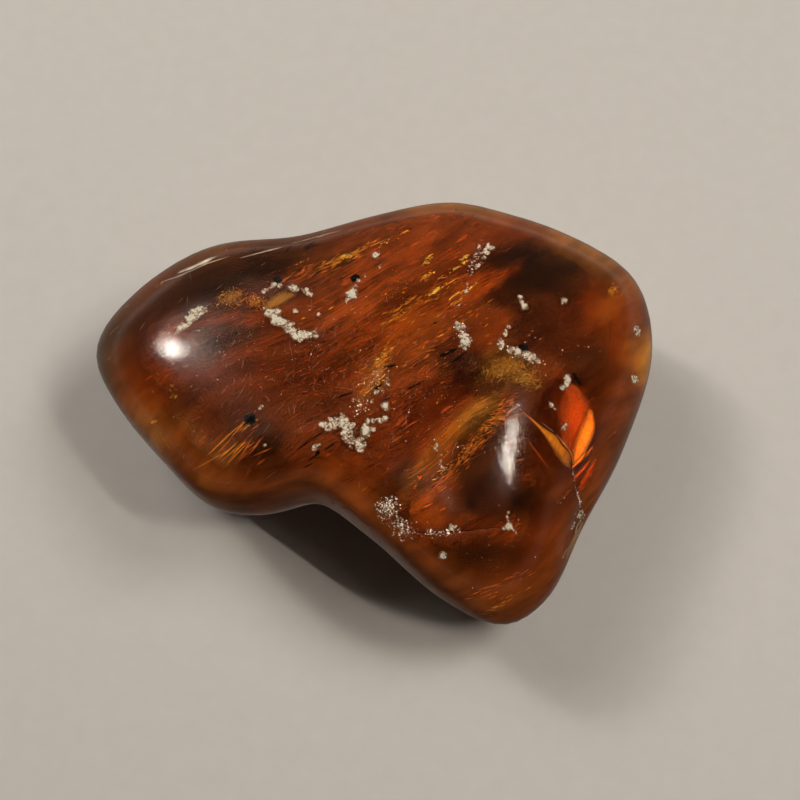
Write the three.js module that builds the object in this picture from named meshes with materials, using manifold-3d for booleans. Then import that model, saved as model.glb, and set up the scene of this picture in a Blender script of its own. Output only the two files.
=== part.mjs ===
// A polished piece of amber: one lobed pebble, worn smooth all over, with a broad low crown, a blunt
// nose at the front right, a narrower lobe at the left and a small flat underneath that it rests on.
// Millimetres, +Z up, front towards -Y. The origin is under the middle of the pebble, on the flat.
import * as THREE from 'three';
import { mergeVertices } from 'three/addons/utils/BufferGeometryUtils.js';
import Module from 'manifold-3d';

// The rim is the widest line round the pebble, anticlockwise from the right. Each point has its plan
// place, its height and the fullness of the shoulder above it: 2 is an ellipsoid, more is boxier.
const RIM = [
  { x: 29.9, y: 6.5, z: 11.0, fullness: 2.5 },
  { x: 28.0, y: 14.5, z: 12.5, fullness: 2.6 },
  { x: 20.5, y: 19.4, z: 13.5, fullness: 2.7 },
  { x: 13.0, y: 22.0, z: 14.0, fullness: 2.8 },
  { x: 5.5, y: 23.4, z: 14.5, fullness: 2.8 },
  { x: -3.0, y: 21.5, z: 14.5, fullness: 3.0 },
  { x: -14.0, y: 18.6, z: 14.0, fullness: 3.0 },
  { x: -23.0, y: 18.1, z: 13.5, fullness: 2.8 },
  { x: -31.0, y: 13.8, z: 13.0, fullness: 2.6 },
  { x: -36.6, y: 5.8, z: 13.0, fullness: 2.6 },
  { x: -34.2, y: 0.0, z: 13.5, fullness: 3.0 },
  { x: -28.0, y: -7.5, z: 14.0, fullness: 3.6 },
  { x: -22.0, y: -13.0, z: 14.5, fullness: 4.0 },
  { x: -16.0, y: -13.6, z: 14.5, fullness: 4.4 },
  { x: -10.6, y: -12.2, z: 14.5, fullness: 4.4 },
  { x: -3.6, y: -16.6, z: 13.5, fullness: 4.2 },
  { x: 4.2, y: -22.9, z: 10.5, fullness: 4.0 },
  { x: 11.5, y: -25.6, z: 8.0, fullness: 3.2 },
  { x: 16.5, y: -22.6, z: 8.0, fullness: 2.8 },
  { x: 20.8, y: -14.5, z: 9.0, fullness: 2.6 },
  { x: 25.6, y: -6.0, z: 10.0, fullness: 2.5 },
];
const RIM_STEPS = 720;

const HEART = { x: -1.0, y: 2.0 }; // the plan point that the rim is star-shaped about
const FACETS_PER_EDGE = 16; // the pebble starts as an icosahedron with each edge cut this many times

const CROWN_RISE = 12.5; // from the middle height up to the crown
const MIDDLE_HEIGHT = 12.0; // height of the widest plane under the heart
const KEEL_DEPTH = 0.5; // how far the underside would bulge below the flat
const KEEL_FULLNESS = 2.05; // as the shoulders' fullness, for the underside

// Low swellings and hollows of the crown: centre, half widths along and across, turn and rise.
const SWELLS = [
  { name: 'left shoulder', x: -24.5, y: 5.0, along: 9.0, across: 7.0, turn: 10, rise: 0.8 },
  { name: 'right ridge', x: 13.2, y: -9.0, along: 13.0, across: 4.5, turn: 94, rise: 1.6 },
  { name: 'dished middle', x: -5.0, y: 3.0, along: 13.0, across: 9.0, turn: 20, rise: -0.6 },
];

/** The rim's azimuth, radius, height and fullness about the heart, in order of azimuth. */
function measureRim() {
  const points = RIM.map(({ x, y, z }) => new THREE.Vector3(x - HEART.x, y - HEART.y, z));
  const curve = new THREE.CatmullRomCurve3(points, true, 'centripetal');
  const samples = [];
  for (let step = 0; step < RIM_STEPS; step += 1) {
    const share = step / RIM_STEPS;
    const point = curve.getPoint(share);
    const index = Math.floor(share * RIM.length);
    const next = RIM[(index + 1) % RIM.length];
    const between = THREE.MathUtils.smoothstep(share * RIM.length - index, 0, 1);
    samples.push({
      azimuth: Math.atan2(point.y, point.x),
      radius: Math.hypot(point.x, point.y),
      height: point.z,
      fullness: THREE.MathUtils.lerp(RIM[index].fullness, next.fullness, between),
    });
  }
  return samples.sort((a, b) => a.azimuth - b.azimuth);
}

/** The rim at one azimuth, between the two nearest samples. */
function rimAt(rim, azimuth) {
  let after = rim.findIndex((sample) => sample.azimuth > azimuth);
  if (after < 0) after = 0;
  const low = rim[(after + rim.length - 1) % rim.length];
  const high = rim[after];
  const turn = 2 * Math.PI;
  const span = (high.azimuth - low.azimuth + turn) % turn;
  const share = span > 0 ? ((azimuth - low.azimuth + turn) % turn) / span : 0;
  return {
    radius: THREE.MathUtils.lerp(low.radius, high.radius, share),
    height: THREE.MathUtils.lerp(low.height, high.height, share),
    fullness: THREE.MathUtils.lerp(low.fullness, high.fullness, share),
  };
}

/** How much the swellings lift the crown at a plan point. */
function swellAt(x, y) {
  let lift = 0;
  for (const swell of SWELLS) {
    const angle = THREE.MathUtils.degToRad(swell.turn);
    const dx = x - swell.x;
    const dy = y - swell.y;
    const along = (dx * Math.cos(angle) + dy * Math.sin(angle)) / swell.along;
    const across = (dy * Math.cos(angle) - dx * Math.sin(angle)) / swell.across;
    lift += swell.rise * Math.exp(-0.5 * (along * along + across * across));
  }
  return lift;
}

/** Moves one point of the unit sphere to its place on the pebble. */
function shapePoint(point, rim) {
  const level = Math.hypot(point.x, point.y);
  const edge = rimAt(rim, Math.atan2(point.y, point.x));
  const fullness = point.z > 0 ? edge.fullness : KEEL_FULLNESS;
  const scale = (level ** fullness + Math.abs(point.z) ** fullness) ** (-1 / fullness);
  const outward = level * scale;
  const upward = Math.abs(point.z) * scale;
  const middle = THREE.MathUtils.lerp(MIDDLE_HEIGHT, edge.height, outward * outward);
  const reach = level > 0 ? (edge.radius * outward) / level : 0;
  const x = HEART.x + point.x * reach;
  const y = HEART.y + point.y * reach;
  const z = point.z > 0
    ? middle + (CROWN_RISE + swellAt(x, y)) * upward
    : middle - (middle + KEEL_DEPTH) * upward;
  return point.set(x, y, z);
}

/** The whole pebble before its flat is cut. */
function makePebble() {
  const geometry = new THREE.IcosahedronGeometry(1, FACETS_PER_EDGE - 1);
  geometry.deleteAttribute('normal');
  geometry.deleteAttribute('uv');
  const welded = mergeVertices(geometry, 1e-5);
  const rim = measureRim();
  const positions = welded.attributes.position;
  const point = new THREE.Vector3();
  for (let i = 0; i < positions.count; i += 1) {
    shapePoint(point.fromBufferAttribute(positions, i), rim);
    positions.setXYZ(i, point.x, point.y, point.z);
  }
  return welded;
}

/** A closed manifold-3d solid from a geometry that holds only positions. */
function toSolid(wasm, geometry) {
  const mesh = new wasm.Mesh({
    numProp: 3,
    vertProperties: new Float32Array(geometry.attributes.position.array),
    triVerts: new Uint32Array(geometry.index.array),
  });
  return new wasm.Manifold(mesh);
}

/** A geometry from a manifold-3d solid. */
function toGeometry(solid) {
  const mesh = solid.getMesh();
  const geometry = new THREE.BufferGeometry();
  geometry.setAttribute('position', new THREE.BufferAttribute(mesh.vertProperties, 3));
  geometry.setIndex(new THREE.BufferAttribute(mesh.triVerts, 1));
  return geometry;
}

/** The block under the resting plane that the flat is cut with. */
function makeCutter() {
  const box = new THREE.BoxGeometry(100, 100, 20);
  box.translate(0, 0, -10);
  box.deleteAttribute('normal');
  box.deleteAttribute('uv');
  return mergeVertices(box);
}

const wasm = await Module();
wasm.setup();

const cut = toSolid(wasm, makePebble()).subtract(toSolid(wasm, makeCutter()));
const geometry = toGeometry(cut);
geometry.computeBoundingBox();
const centre = geometry.boundingBox.getCenter(new THREE.Vector3());
geometry.translate(-centre.x, -centre.y, -geometry.boundingBox.min.z);

const material = new THREE.MeshStandardMaterial({ color: 0x6e2d0f, roughness: 0.12, metalness: 0 });
const amber = new THREE.Mesh(geometry, material);
amber.name = 'amber';

const group = new THREE.Group();
group.add(amber);
export default group;
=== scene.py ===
"""A polished piece of amber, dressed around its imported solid.

The pebble is one clear, reddish-brown lump of resin. Veils, needles, flakes and dark hollows lie sealed
in it, and chalky crust fills the pits of its polished skin. Lengths are millimetres until a mesh is
made. Every place is a pair of shares of the amber's own box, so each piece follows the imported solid.
"""

from __future__ import annotations

import logging
import math
from dataclasses import dataclass, field
from enum import Enum

import bmesh
import bpy
import numpy as np
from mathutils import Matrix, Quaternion, Vector
from mathutils.bvhtree import BVHTree

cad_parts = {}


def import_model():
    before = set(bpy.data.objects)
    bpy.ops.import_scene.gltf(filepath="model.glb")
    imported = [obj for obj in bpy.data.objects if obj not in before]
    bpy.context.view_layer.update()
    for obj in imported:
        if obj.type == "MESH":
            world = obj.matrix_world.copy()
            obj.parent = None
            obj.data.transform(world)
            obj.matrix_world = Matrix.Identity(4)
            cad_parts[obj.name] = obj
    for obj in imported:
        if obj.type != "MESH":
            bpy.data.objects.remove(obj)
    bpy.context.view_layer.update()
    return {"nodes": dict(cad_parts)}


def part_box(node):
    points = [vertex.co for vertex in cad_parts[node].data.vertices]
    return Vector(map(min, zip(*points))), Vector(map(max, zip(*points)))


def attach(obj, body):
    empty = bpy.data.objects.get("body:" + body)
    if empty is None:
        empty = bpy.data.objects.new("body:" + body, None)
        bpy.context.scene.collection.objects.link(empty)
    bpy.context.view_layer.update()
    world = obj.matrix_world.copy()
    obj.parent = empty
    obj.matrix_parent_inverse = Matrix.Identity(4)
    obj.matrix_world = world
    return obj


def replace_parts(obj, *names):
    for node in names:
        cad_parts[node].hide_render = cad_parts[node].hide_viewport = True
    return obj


LOG = logging.getLogger("amber")
MM = 0.001
Array = np.ndarray
Rng = np.random.Generator
Material = bpy.types.Material
Piece = bpy.types.Object
Socket = bpy.types.NodeSocket
Pair = tuple[float, float]
Triple = tuple[float, float, float]
Place = Pair
Colour = Triple


# ---- Shared helpers ----


class Slot(Enum):
    """Material slot names, passed along with the pieces but not set on them."""

    AMBER = "amber"
    CRUST = "crust"
    INCLUSION = "inclusion"
    STREAK = "streak"


@dataclass(frozen=True)
class Cloud:
    """Smooth seeded noise in space, from -1 to 1.

    Attributes:
        seed: Picks the pattern.
        cell: Size of the largest lumps, in mm.
        octaves: How many layers it has, each half the size and half the strength of the one before.
    """

    seed: int
    cell: float
    octaves: int = 3

    TABLE = 4096  # random values that the corners draw from, a power of two
    PRIMES = np.array([73856093, 19349663, 83492791])  # spread neighbouring corners over the table
    SHIFT = 17.3  # how far each finer layer is moved, in its own cells

    def at(self, points: Array) -> Array:
        """Samples the noise.

        Args:
            points: Places, one row each, with two or three columns in mm.

        Returns:
            One value for each place.
        """
        points = np.atleast_2d(np.asarray(points, float))
        if points.shape[1] == 2:
            points = np.column_stack([points, np.zeros(len(points))])
        table = np.random.default_rng(self.seed).uniform(-1, 1, self.TABLE)
        total, weight = np.zeros(len(points)), 0.0
        for octave in range(self.octaves):
            share = 0.5**octave
            spot = points / (self.cell * share) + self.SHIFT * octave
            whole = np.floor(spot).astype(np.int64)
            part = spot - whole
            part = part * part * (3 - 2 * part)
            value = np.zeros(len(points))
            for corner in range(8):
                step = np.array([corner & 1, corner >> 1 & 1, corner >> 2 & 1])
                key = (whole + step) @ self.PRIMES
                side = np.where(step == 1, part, 1 - part).prod(axis=1)
                value += side * table[(key ^ (key >> 13)) & (self.TABLE - 1)]
            total += share * value
            weight += share
        return total / weight


def unit(vectors: Array) -> Array:
    """Vectors scaled to length 1, one row each."""
    return vectors / np.maximum(np.linalg.norm(vectors, axis=-1, keepdims=True), 1e-12)


def bell(distance: Array, width: float) -> Array:
    """A smooth hump, 1 at distance 0 and nearly 0 past twice the width."""
    return np.exp(-0.5 * (distance / width) ** 2)


def ramp(value: Array, low: float, high: float) -> Array:
    """0 before low, 1 past high and smooth between, either way round."""
    share = np.clip((value - low) / (high - low), 0, 1)
    return share * share * (3 - 2 * share)


def scaled_draws(ends: Pair, rng: Rng, count: int) -> Array:
    """Random sizes between two ends, as many small steps up as down."""
    return ends[0] * (ends[1] / ends[0]) ** rng.random(count)


def repeated(pattern: Array, each: int, count: int) -> Array:
    """The triangles of count alike meshes of each vertices, one after another."""
    return (pattern[None] + each * np.arange(count)[:, None, None]).reshape(-1, 3)


def sheet_quads(rows: int, columns: int) -> Array:
    """Finds the faces of a sheet of vertices.

    Args:
        rows: How many rows of vertices it has.
        columns: How many vertices a row has.

    Returns:
        Four corner numbers a face, in order round it.
    """
    number = np.arange(rows * columns).reshape(rows, columns)
    corners = number[:-1, :-1], number[1:, :-1], number[1:, 1:], number[:-1, 1:]
    return np.column_stack([corner.ravel() for corner in corners])


def even_ball(fineness: int) -> tuple[Array, Array, Array]:
    """Makes an even ball of radius 1.

    Args:
        fineness: Its subdivisions.

    Returns:
        Its vertices, faces and edges.
    """
    ball = bmesh.new()
    bmesh.ops.create_icosphere(ball, subdivisions=fineness, radius=1)
    points = np.array([v.co for v in ball.verts])
    faces = np.array([[v.index for v in f.verts] for f in ball.faces])
    edges = np.array([[v.index for v in e.verts] for e in ball.edges])
    ball.free()
    return points, faces, edges


def vertex_normals(vertices: Array, faces: Array) -> Array:
    """Normals of a triangle mesh, weighted by area.

    Args:
        vertices: Corner places, one row each.
        faces: Triangles, as three corner numbers a row.

    Returns:
        One unit normal for each vertex.
    """
    edge_a = vertices[faces[:, 1]] - vertices[faces[:, 0]]
    edge_b = vertices[faces[:, 2]] - vertices[faces[:, 0]]
    across = np.cross(edge_a, edge_b)
    total = np.zeros_like(vertices)
    for corner in range(3):
        np.add.at(total, faces[:, corner], across)
    return unit(total)


def loop_refined(vertices: Array, faces: Array) -> tuple[Array, Array]:
    """One step of Loop subdivision, which rounds a faceted closed mesh.

    Args:
        vertices: Corner places, one row each.
        faces: Triangles, as three corner numbers a row.

    Returns:
        The new vertices and faces.
    """
    edges = np.concatenate([faces[:, [0, 1]], faces[:, [1, 2]], faces[:, [2, 0]]])
    opposite = np.concatenate([faces[:, 2], faces[:, 0], faces[:, 1]])
    pairs, owner = np.unique(np.sort(edges, axis=1), axis=0, return_inverse=True)
    owner = owner.ravel()
    wings = np.zeros((len(pairs), 3))
    np.add.at(wings, owner, vertices[opposite])
    middles = 0.375 * (vertices[pairs[:, 0]] + vertices[pairs[:, 1]]) + 0.125 * wings
    valence = np.bincount(pairs.ravel(), minlength=len(vertices))
    around = np.zeros_like(vertices)
    np.add.at(around, pairs[:, 0], vertices[pairs[:, 1]])
    np.add.at(around, pairs[:, 1], vertices[pairs[:, 0]])
    pull = np.where(valence == 3, 3 / 16, 3 / (8 * np.maximum(valence, 1)))
    corners = vertices * (1 - valence * pull)[:, None] + around * pull[:, None]
    count, base = len(faces), len(vertices)
    a, b, c = (owner[part * count : (part + 1) * count] + base for part in range(3))
    new_faces = np.concatenate(
        [
            np.column_stack([faces[:, 0], a, c]),
            np.column_stack([faces[:, 1], b, a]),
            np.column_stack([faces[:, 2], c, b]),
            np.column_stack([a, b, c]),
        ]
    )
    return np.concatenate([corners, middles]), new_faces


def mesh_arrays(mesh: bpy.types.Mesh) -> tuple[Array, Array]:
    """Reads a mesh.

    Args:
        mesh: A mesh in metres.

    Returns:
        Its vertices in mm, and its triangles.
    """
    mesh.calc_loop_triangles()
    vertices = np.empty(len(mesh.vertices) * 3)
    mesh.vertices.foreach_get("co", vertices)
    faces = np.empty(len(mesh.loop_triangles) * 3, np.int32)
    mesh.loop_triangles.foreach_get("vertices", faces)
    return vertices.reshape(-1, 3) / MM, faces.reshape(-1, 3).astype(np.int64)


def fill_mesh(name: str, vertices: Array, faces: Array) -> bpy.types.Mesh:
    """Makes a mesh.

    Args:
        name: Its name.
        vertices: Corner places in mm.
        faces: Triangles.

    Returns:
        The mesh, in metres.
    """
    mesh = bpy.data.meshes.new(name)
    mesh.vertices.add(len(vertices))
    mesh.vertices.foreach_set("co", (vertices * MM).astype(np.float32).ravel())
    mesh.loops.add(len(faces) * 3)
    mesh.loops.foreach_set("vertex_index", faces.astype(np.int32).ravel())
    mesh.polygons.add(len(faces))
    mesh.polygons.foreach_set("loop_start", np.arange(0, len(faces) * 3, 3, dtype=np.int32))
    mesh.update(calc_edges=True)
    mesh.validate()
    return mesh


def make_piece(
    name: str,
    vertices: Array,
    faces: Array,
    material: Material,
    slot: Slot,
    marks: dict[str, Array] | None = None,
    smooth: bool = True,
) -> Piece:
    """Makes one piece that belongs to the pebble and reports it.

    Args:
        name: The piece's name.
        vertices: Corner places in mm.
        faces: Triangles.
        material: Its finish.
        slot: The material slot that the finish belongs to; not used.
        marks: Values for each vertex that the finish reads, by name, as numbers or as rows of three.
        smooth: Whether its faces shade smoothly.

    Returns:
        The object, riding on the pebble's one body.
    """
    mesh = fill_mesh(name, vertices, faces)
    for mark, values in (marks or {}).items():
        if values.ndim == 1:
            layer, key = mesh.attributes.new(mark, "FLOAT", "POINT"), "value"
        else:
            layer, key = mesh.attributes.new(mark, "FLOAT_VECTOR", "POINT"), "vector"
        layer.data.foreach_set(key, values.astype(np.float32).ravel())
    mesh.polygons.foreach_set("use_smooth", np.full(len(mesh.polygons), smooth))
    mesh.materials.append(material)
    piece = bpy.data.objects.new(name, mesh)
    bpy.context.scene.collection.objects.link(piece)
    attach(piece, "root")
    LOG.info("%s: %d triangles", name, len(mesh.polygons))
    return piece


class Heap:
    """Small meshes gathered into one piece."""

    def __init__(self) -> None:
        """Starts empty."""
        self.vertices: list[Array] = []
        self.faces: list[Array] = []
        self.marks: dict[str, list[Array]] = {}
        self.count = 0

    def add(self, vertices: Array, faces: Array, **marks: Array) -> None:
        """Adds one mesh.

        Args:
            vertices: Its corner places in mm.
            faces: Its triangles.
            **marks: Values for each of its vertices that the finish reads.
        """
        self.vertices.append(vertices)
        self.faces.append(faces + self.count)
        self.count += len(vertices)
        for mark, values in marks.items():
            self.marks.setdefault(mark, []).append(values)

    def arrays(self) -> tuple[Array, Array]:
        """All its vertices and triangles."""
        return np.concatenate(self.vertices), np.concatenate(self.faces)

    def make(self, name: str, material: Material, slot: Slot, smooth: bool = True) -> Piece:
        """Makes the piece.

        Args:
            name: Its name.
            material: Its finish.
            slot: The material slot that the finish belongs to, passed on to make_piece.
            smooth: Whether its faces shade smoothly.

        Returns:
            The piece.
        """
        marks = {mark: np.concatenate(values) for mark, values in self.marks.items()}
        return make_piece(name, *self.arrays(), material, slot, marks, smooth)


class NodeBoard:
    """The node tree of a material or of the world, built by short calls."""

    def __init__(self, name: str, world: bool = False) -> None:
        """Starts an empty tree.

        Args:
            name: Name of the material or world.
            world: Whether it is the world's.
        """
        self.owner = (bpy.data.worlds if world else bpy.data.materials).new(name)
        self.owner.use_nodes = True
        self.tree = self.owner.node_tree
        self.tree.nodes.clear()
        self.output = self.add("OutputWorld" if world else "OutputMaterial")

    def add(self, kind: str, inputs: dict | None = None, **settings: object) -> bpy.types.Node:
        """Adds a node.

        Args:
            kind: The node type, without its ShaderNode prefix.
            inputs: Values or sockets by input name or number.
            **settings: The node's own properties.

        Returns:
            The new node.
        """
        node = self.tree.nodes.new("ShaderNode" + kind)
        for key, value in settings.items():
            setattr(node, key, value)
        for key, value in (inputs or {}).items():
            if isinstance(value, Socket):
                self.tree.links.new(value, node.inputs[key])
            else:
                node.inputs[key].default_value = value
        return node

    def finish(self, kind: str, inputs: dict, volume: Socket | None = None) -> Material | bpy.types.World:
        """Joins the shaders to the output.

        Args:
            kind: The surface shader's node type, without its ShaderNode prefix.
            inputs: Values or sockets for its inputs.
            volume: The volume shader, or None.

        Returns:
            The material or world.
        """
        self.tree.links.new(self.add(kind, inputs).outputs[0], self.output.inputs["Surface"])
        if volume is not None:
            self.tree.links.new(volume, self.output.inputs["Volume"])
        return self.owner

    def mark(self, name: str, output: str = "Fac") -> Socket:
        """The socket of a value marked on the vertices."""
        return self.add("Attribute", attribute_name=name).outputs[output]

    def place_mm(self, stretch: Triple = (1, 1, 1), turn: float = 0.0) -> Socket:
        """Object places in mm, turned about Z and stretched.

        Args:
            stretch: How much each turned axis is scaled.
            turn: Degrees to turn the pattern anticlockwise.

        Returns:
            The vector socket.
        """
        place = self.add("TexCoord").outputs["Object"]
        inputs = {"Vector": place, "Rotation": (0, 0, -math.radians(turn)), "Scale": (1 / MM,) * 3}
        return self.stretched(self.add("Mapping", inputs).outputs[0], stretch)

    def stretched(self, place: Socket, stretch: Triple) -> Socket:
        """Places scaled along each axis."""
        return self.add("VectorMath", {0: place, 1: stretch}, operation="MULTIPLY").outputs[0]

    def noise(self, vector: Socket, scale: float, detail: float = 4.0, **inputs: float) -> Socket:
        """A noise texture's value socket, for places in mm."""
        values = {"Vector": vector, "Scale": scale, "Detail": detail} | inputs
        return self.add("TexNoise", values).outputs["Fac"]

    def ranged(self, value: Socket, source: Pair, target: Pair = (0.0, 1.0)) -> Socket:
        """A value moved from one range to another, held at its ends."""
        return self.add("MapRange", {0: value} | dict(enumerate(source + target, 1))).outputs[0]

    def colours(self, value: Socket, stops: list[tuple[float, Colour]]) -> Socket:
        """A colour ramp over a value.

        Args:
            value: The driving socket.
            stops: Positions from 0 to 1 with linear colours.

        Returns:
            The colour socket.
        """
        node = self.add("ValToRGB", {"Fac": value})
        elements = node.color_ramp.elements
        while len(elements) > 1:
            elements.remove(elements[-1])
        for number, (position, colour) in enumerate(stops):
            element = elements[0] if number == 0 else elements.new(position)
            element.position = position
            element.color = (*colour, 1)
        return node.outputs["Color"]

    def mix(self, share: object, first: object, second: object, blend: str = "MIX") -> Socket:
        """The colour socket of two colours mixed by share."""
        inputs = {0: share, 6: first, 7: second}
        return self.add("Mix", inputs, data_type="RGBA", blend_type=blend).outputs[2]

    def math(self, operation: str, first: object, second: object = 0.0, clamp: bool = False) -> Socket:
        """The value socket of a math node."""
        return self.add("Math", {0: first, 1: second}, operation=operation, use_clamp=clamp).outputs[0]


# ---- The pebble's form and what every place is measured from ----


@dataclass(frozen=True)
class Dent:
    """A shallow pit or chip in the polished skin.

    Attributes:
        path: The places it runs through.
        width: Half its width, in mm.
        depth: How deep it is, in mm.
    """

    path: tuple[Place, ...]
    width: float
    depth: float


@dataclass
class Pebble:
    """The pebble's smooth skin, and the means to place things on and in it.

    Attributes:
        node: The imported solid.
        heart: Shares of the box of the point that the skin is cast about.
        fineness: Subdivisions of the ball that the skin is cast from.
        swell: Height of the polish's gentle waves, in mm.
        smoothing: Strengths of the skin's smoothing steps, by turns inwards and outwards.
        grid_step: Step of the height map, in mm.
        sky: Height that upright rays start from, in mm.
        dents: The pits and chips.
        low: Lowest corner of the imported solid's box, in mm.
        high: Highest corner of it, in mm.
        vertices: Corner places of the finished skin, in mm.
        faces: Triangles of the skin.
        normals: The finished skin's normals.
        skin_points: Corner places before the waves and the dents, in mm.
        skin_normals: The normals there.
        centre: The point that the skin is cast about, in mm.
        tree: The skin, ready for rays.
        grid_x: Places of the height map's columns, in mm.
        grid_y: Places of its rows, in mm.
        top_map: Height of the skin's top at each, in mm.
    """

    node: Piece
    dents: tuple[Dent, ...] = ()
    heart: Triple = (0.53, 0.57, 0.5)
    fineness: int = 6
    swell: float = 0.05
    smoothing: tuple[float, ...] = (0.6, -0.62) * 4
    grid_step: float = 0.5
    sky: float = 99.0
    low: Array = field(init=False)
    high: Array = field(init=False)
    vertices: Array = field(init=False)
    faces: Array = field(init=False)
    normals: Array = field(init=False)
    skin_points: Array = field(init=False)
    skin_normals: Array = field(init=False)
    centre: Array = field(init=False)
    tree: BVHTree = field(init=False)
    grid_x: Array = field(init=False)
    grid_y: Array = field(init=False)
    top_map: Array = field(init=False)

    def __post_init__(self) -> None:
        """Works out the skin and its height map."""
        low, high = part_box(self.node.name)
        self.low, self.high = np.array(low) / MM, np.array(high) / MM
        self._cast_skin()
        self._wear_skin()
        self._map_heights()

    def _solid_tree(self) -> BVHTree:
        """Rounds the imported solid's facets.

        Returns:
            The rounded solid, ready for rays.
        """
        vertices, faces = mesh_arrays(self.node.data)
        rounded = np.round(vertices, 4)
        _, first, owner = np.unique(rounded, axis=0, return_index=True, return_inverse=True)
        vertices, faces = vertices[first], owner.ravel()[faces]
        for _ in range(2):
            vertices, faces = loop_refined(vertices, faces)
        vertices[:, 2] = np.maximum(vertices[:, 2], 0)
        return BVHTree.FromPolygons(vertices.tolist(), faces.tolist())

    def _cast_skin(self) -> None:
        """Casts an even ball of points out from the heart onto the solid."""
        rays, self.faces, edges = even_ball(self.fineness)
        tree = self._solid_tree()
        centre = self.low + np.array(self.heart) * (self.high - self.low)
        start = Vector(centre)
        reach = np.array([tree.ray_cast(start, Vector(ray))[3] for ray in rays])
        valence = np.bincount(edges.ravel(), minlength=len(rays))
        for strength in self.smoothing:
            total = np.zeros(len(rays))
            np.add.at(total, edges[:, 0], reach[edges[:, 1]])
            np.add.at(total, edges[:, 1], reach[edges[:, 0]])
            reach = reach + strength * (total / valence - reach)
        self.centre = centre
        self.vertices = self.skin_points = centre + rays * reach[:, None]
        self.normals = self.skin_normals = vertex_normals(self.vertices, self.faces)
        self.tree = BVHTree.FromPolygons(self.vertices.tolist(), self.faces.tolist())

    def _wear_skin(self) -> None:
        """Adds the polish's waves, the pits and the chips."""
        lift = self.swell * Cloud(3, 7.0, 2).at(self.vertices)
        for dent in self.dents:
            route = np.array([self.drop(*place)[0] for place in dent.path])
            lift -= dent.depth * bell(distance_to_route(self.vertices, route), dent.width)
        self.vertices = self.vertices + self.normals * lift[:, None]
        self.vertices[:, 2] = np.maximum(self.vertices[:, 2], 0)
        self.normals = vertex_normals(self.vertices, self.faces)
        self.tree = BVHTree.FromPolygons(self.vertices.tolist(), self.faces.tolist())

    def _map_heights(self) -> None:
        """Samples the top on a plan grid, with NaN outside."""
        step = self.grid_step
        self.grid_x = np.arange(self.low[0] - step, self.high[0] + 2 * step, step)
        self.grid_y = np.arange(self.low[1] - step, self.high[1] + 2 * step, step)
        self.top_map = np.full((len(self.grid_x), len(self.grid_y)), np.nan)
        for i, x in enumerate(self.grid_x):
            for j, y in enumerate(self.grid_y):
                above = self._fall(x, y)[0]
                if above is not None:
                    self.top_map[i, j] = above.z

    def _fall(self, x: float, y: float) -> tuple[Vector | None, ...]:
        """What a ray straight down at a plan place in mm meets first."""
        return self.tree.ray_cast(Vector((x, y, self.sky)), Vector((0, 0, -1)))

    def plan(self, shares: Array) -> Array:
        """Plan places in mm from shares of the box, one row each."""
        shares = np.atleast_2d(np.asarray(shares, float))
        return self.low[:2] + shares * (self.high - self.low)[:2]

    def drop(self, share_x: float, share_y: float) -> tuple[Array, Array]:
        """The point straight below a place on the skin, and the skin's normal there.

        Args:
            share_x: Share of the box along X.
            share_y: Share of the box along Y.

        Returns:
            The point in mm, and the unit normal.
        """
        x, y = self.plan((share_x, share_y))[0]
        point, normal, _, _ = self._fall(x, y)
        return np.array(point), np.array(normal)

    def top(self, x: Array, y: Array) -> Array:
        """Height of the skin's top.

        Args:
            x: Places along X, in mm.
            y: Places along Y, in mm.

        Returns:
            One height for each place, NaN outside the pebble.
        """
        table = self.top_map
        u = (np.asarray(x) - self.grid_x[0]) / self.grid_step
        v = (np.asarray(y) - self.grid_y[0]) / self.grid_step
        i = np.clip(np.floor(u).astype(int), 0, table.shape[0] - 2)
        j = np.clip(np.floor(v).astype(int), 0, table.shape[1] - 2)
        s, t = np.clip(u - i, 0, 1), np.clip(v - j, 0, 1)
        near = table[i, j] * (1 - s) + table[i + 1, j] * s
        far = table[i, j + 1] * (1 - s) + table[i + 1, j + 1] * s
        return near * (1 - t) + far * t

    def covers(self, points: Array, margin: float) -> Array:
        """Finds which points lie inside.

        Args:
            points: Places in mm, one row each.
            margin: How far from the skin they must be, in mm.

        Returns:
            True for each point that lies inside.
        """
        found = np.zeros(len(points), bool)
        for number, point in enumerate(points):
            near, normal, _, distance = self.tree.find_nearest(Vector(point))
            found[number] = distance > margin and (near - Vector(point)).dot(normal) > 0
        return found

    def settle(self, x: Array, y: Array) -> tuple[Array, Array]:
        """Points on the skin over plan places in mm, and the skin's normals there.

        Args:
            x: Places along X; one outside the pebble goes to its nearest skin.
            y: Places along Y.

        Returns:
            The points and the unit normals, one row each.
        """
        points, normals = np.empty((len(x), 3)), np.empty((len(x), 3))
        for number, (px, py) in enumerate(zip(x, y)):
            point, normal, _, _ = self._fall(px, py)
            if point is None:
                point, normal, _, _ = self.tree.find_nearest(Vector((px, py, self.centre[2])))
            points[number], normals[number] = point, normal
        return points, normals

    def height_over_skin(self, points: Array) -> Array:
        """Measures how far points stand out.

        Args:
            points: Places in mm, one row each.

        Returns:
            Signed distance of each point over the skin, in mm.
        """
        heights = np.empty(len(points))
        for number, point in enumerate(points):
            near, normal, _, _ = self.tree.find_nearest(Vector(point))
            heights[number] = (Vector(point) - near).dot(normal)
        return heights

    def sideways(self, normals: Array) -> Array:
        """How much the skin faces sideways or down, from 0 on top to 1."""
        return 1 - ramp(normals[:, 2], 0.20, 0.86)

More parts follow.
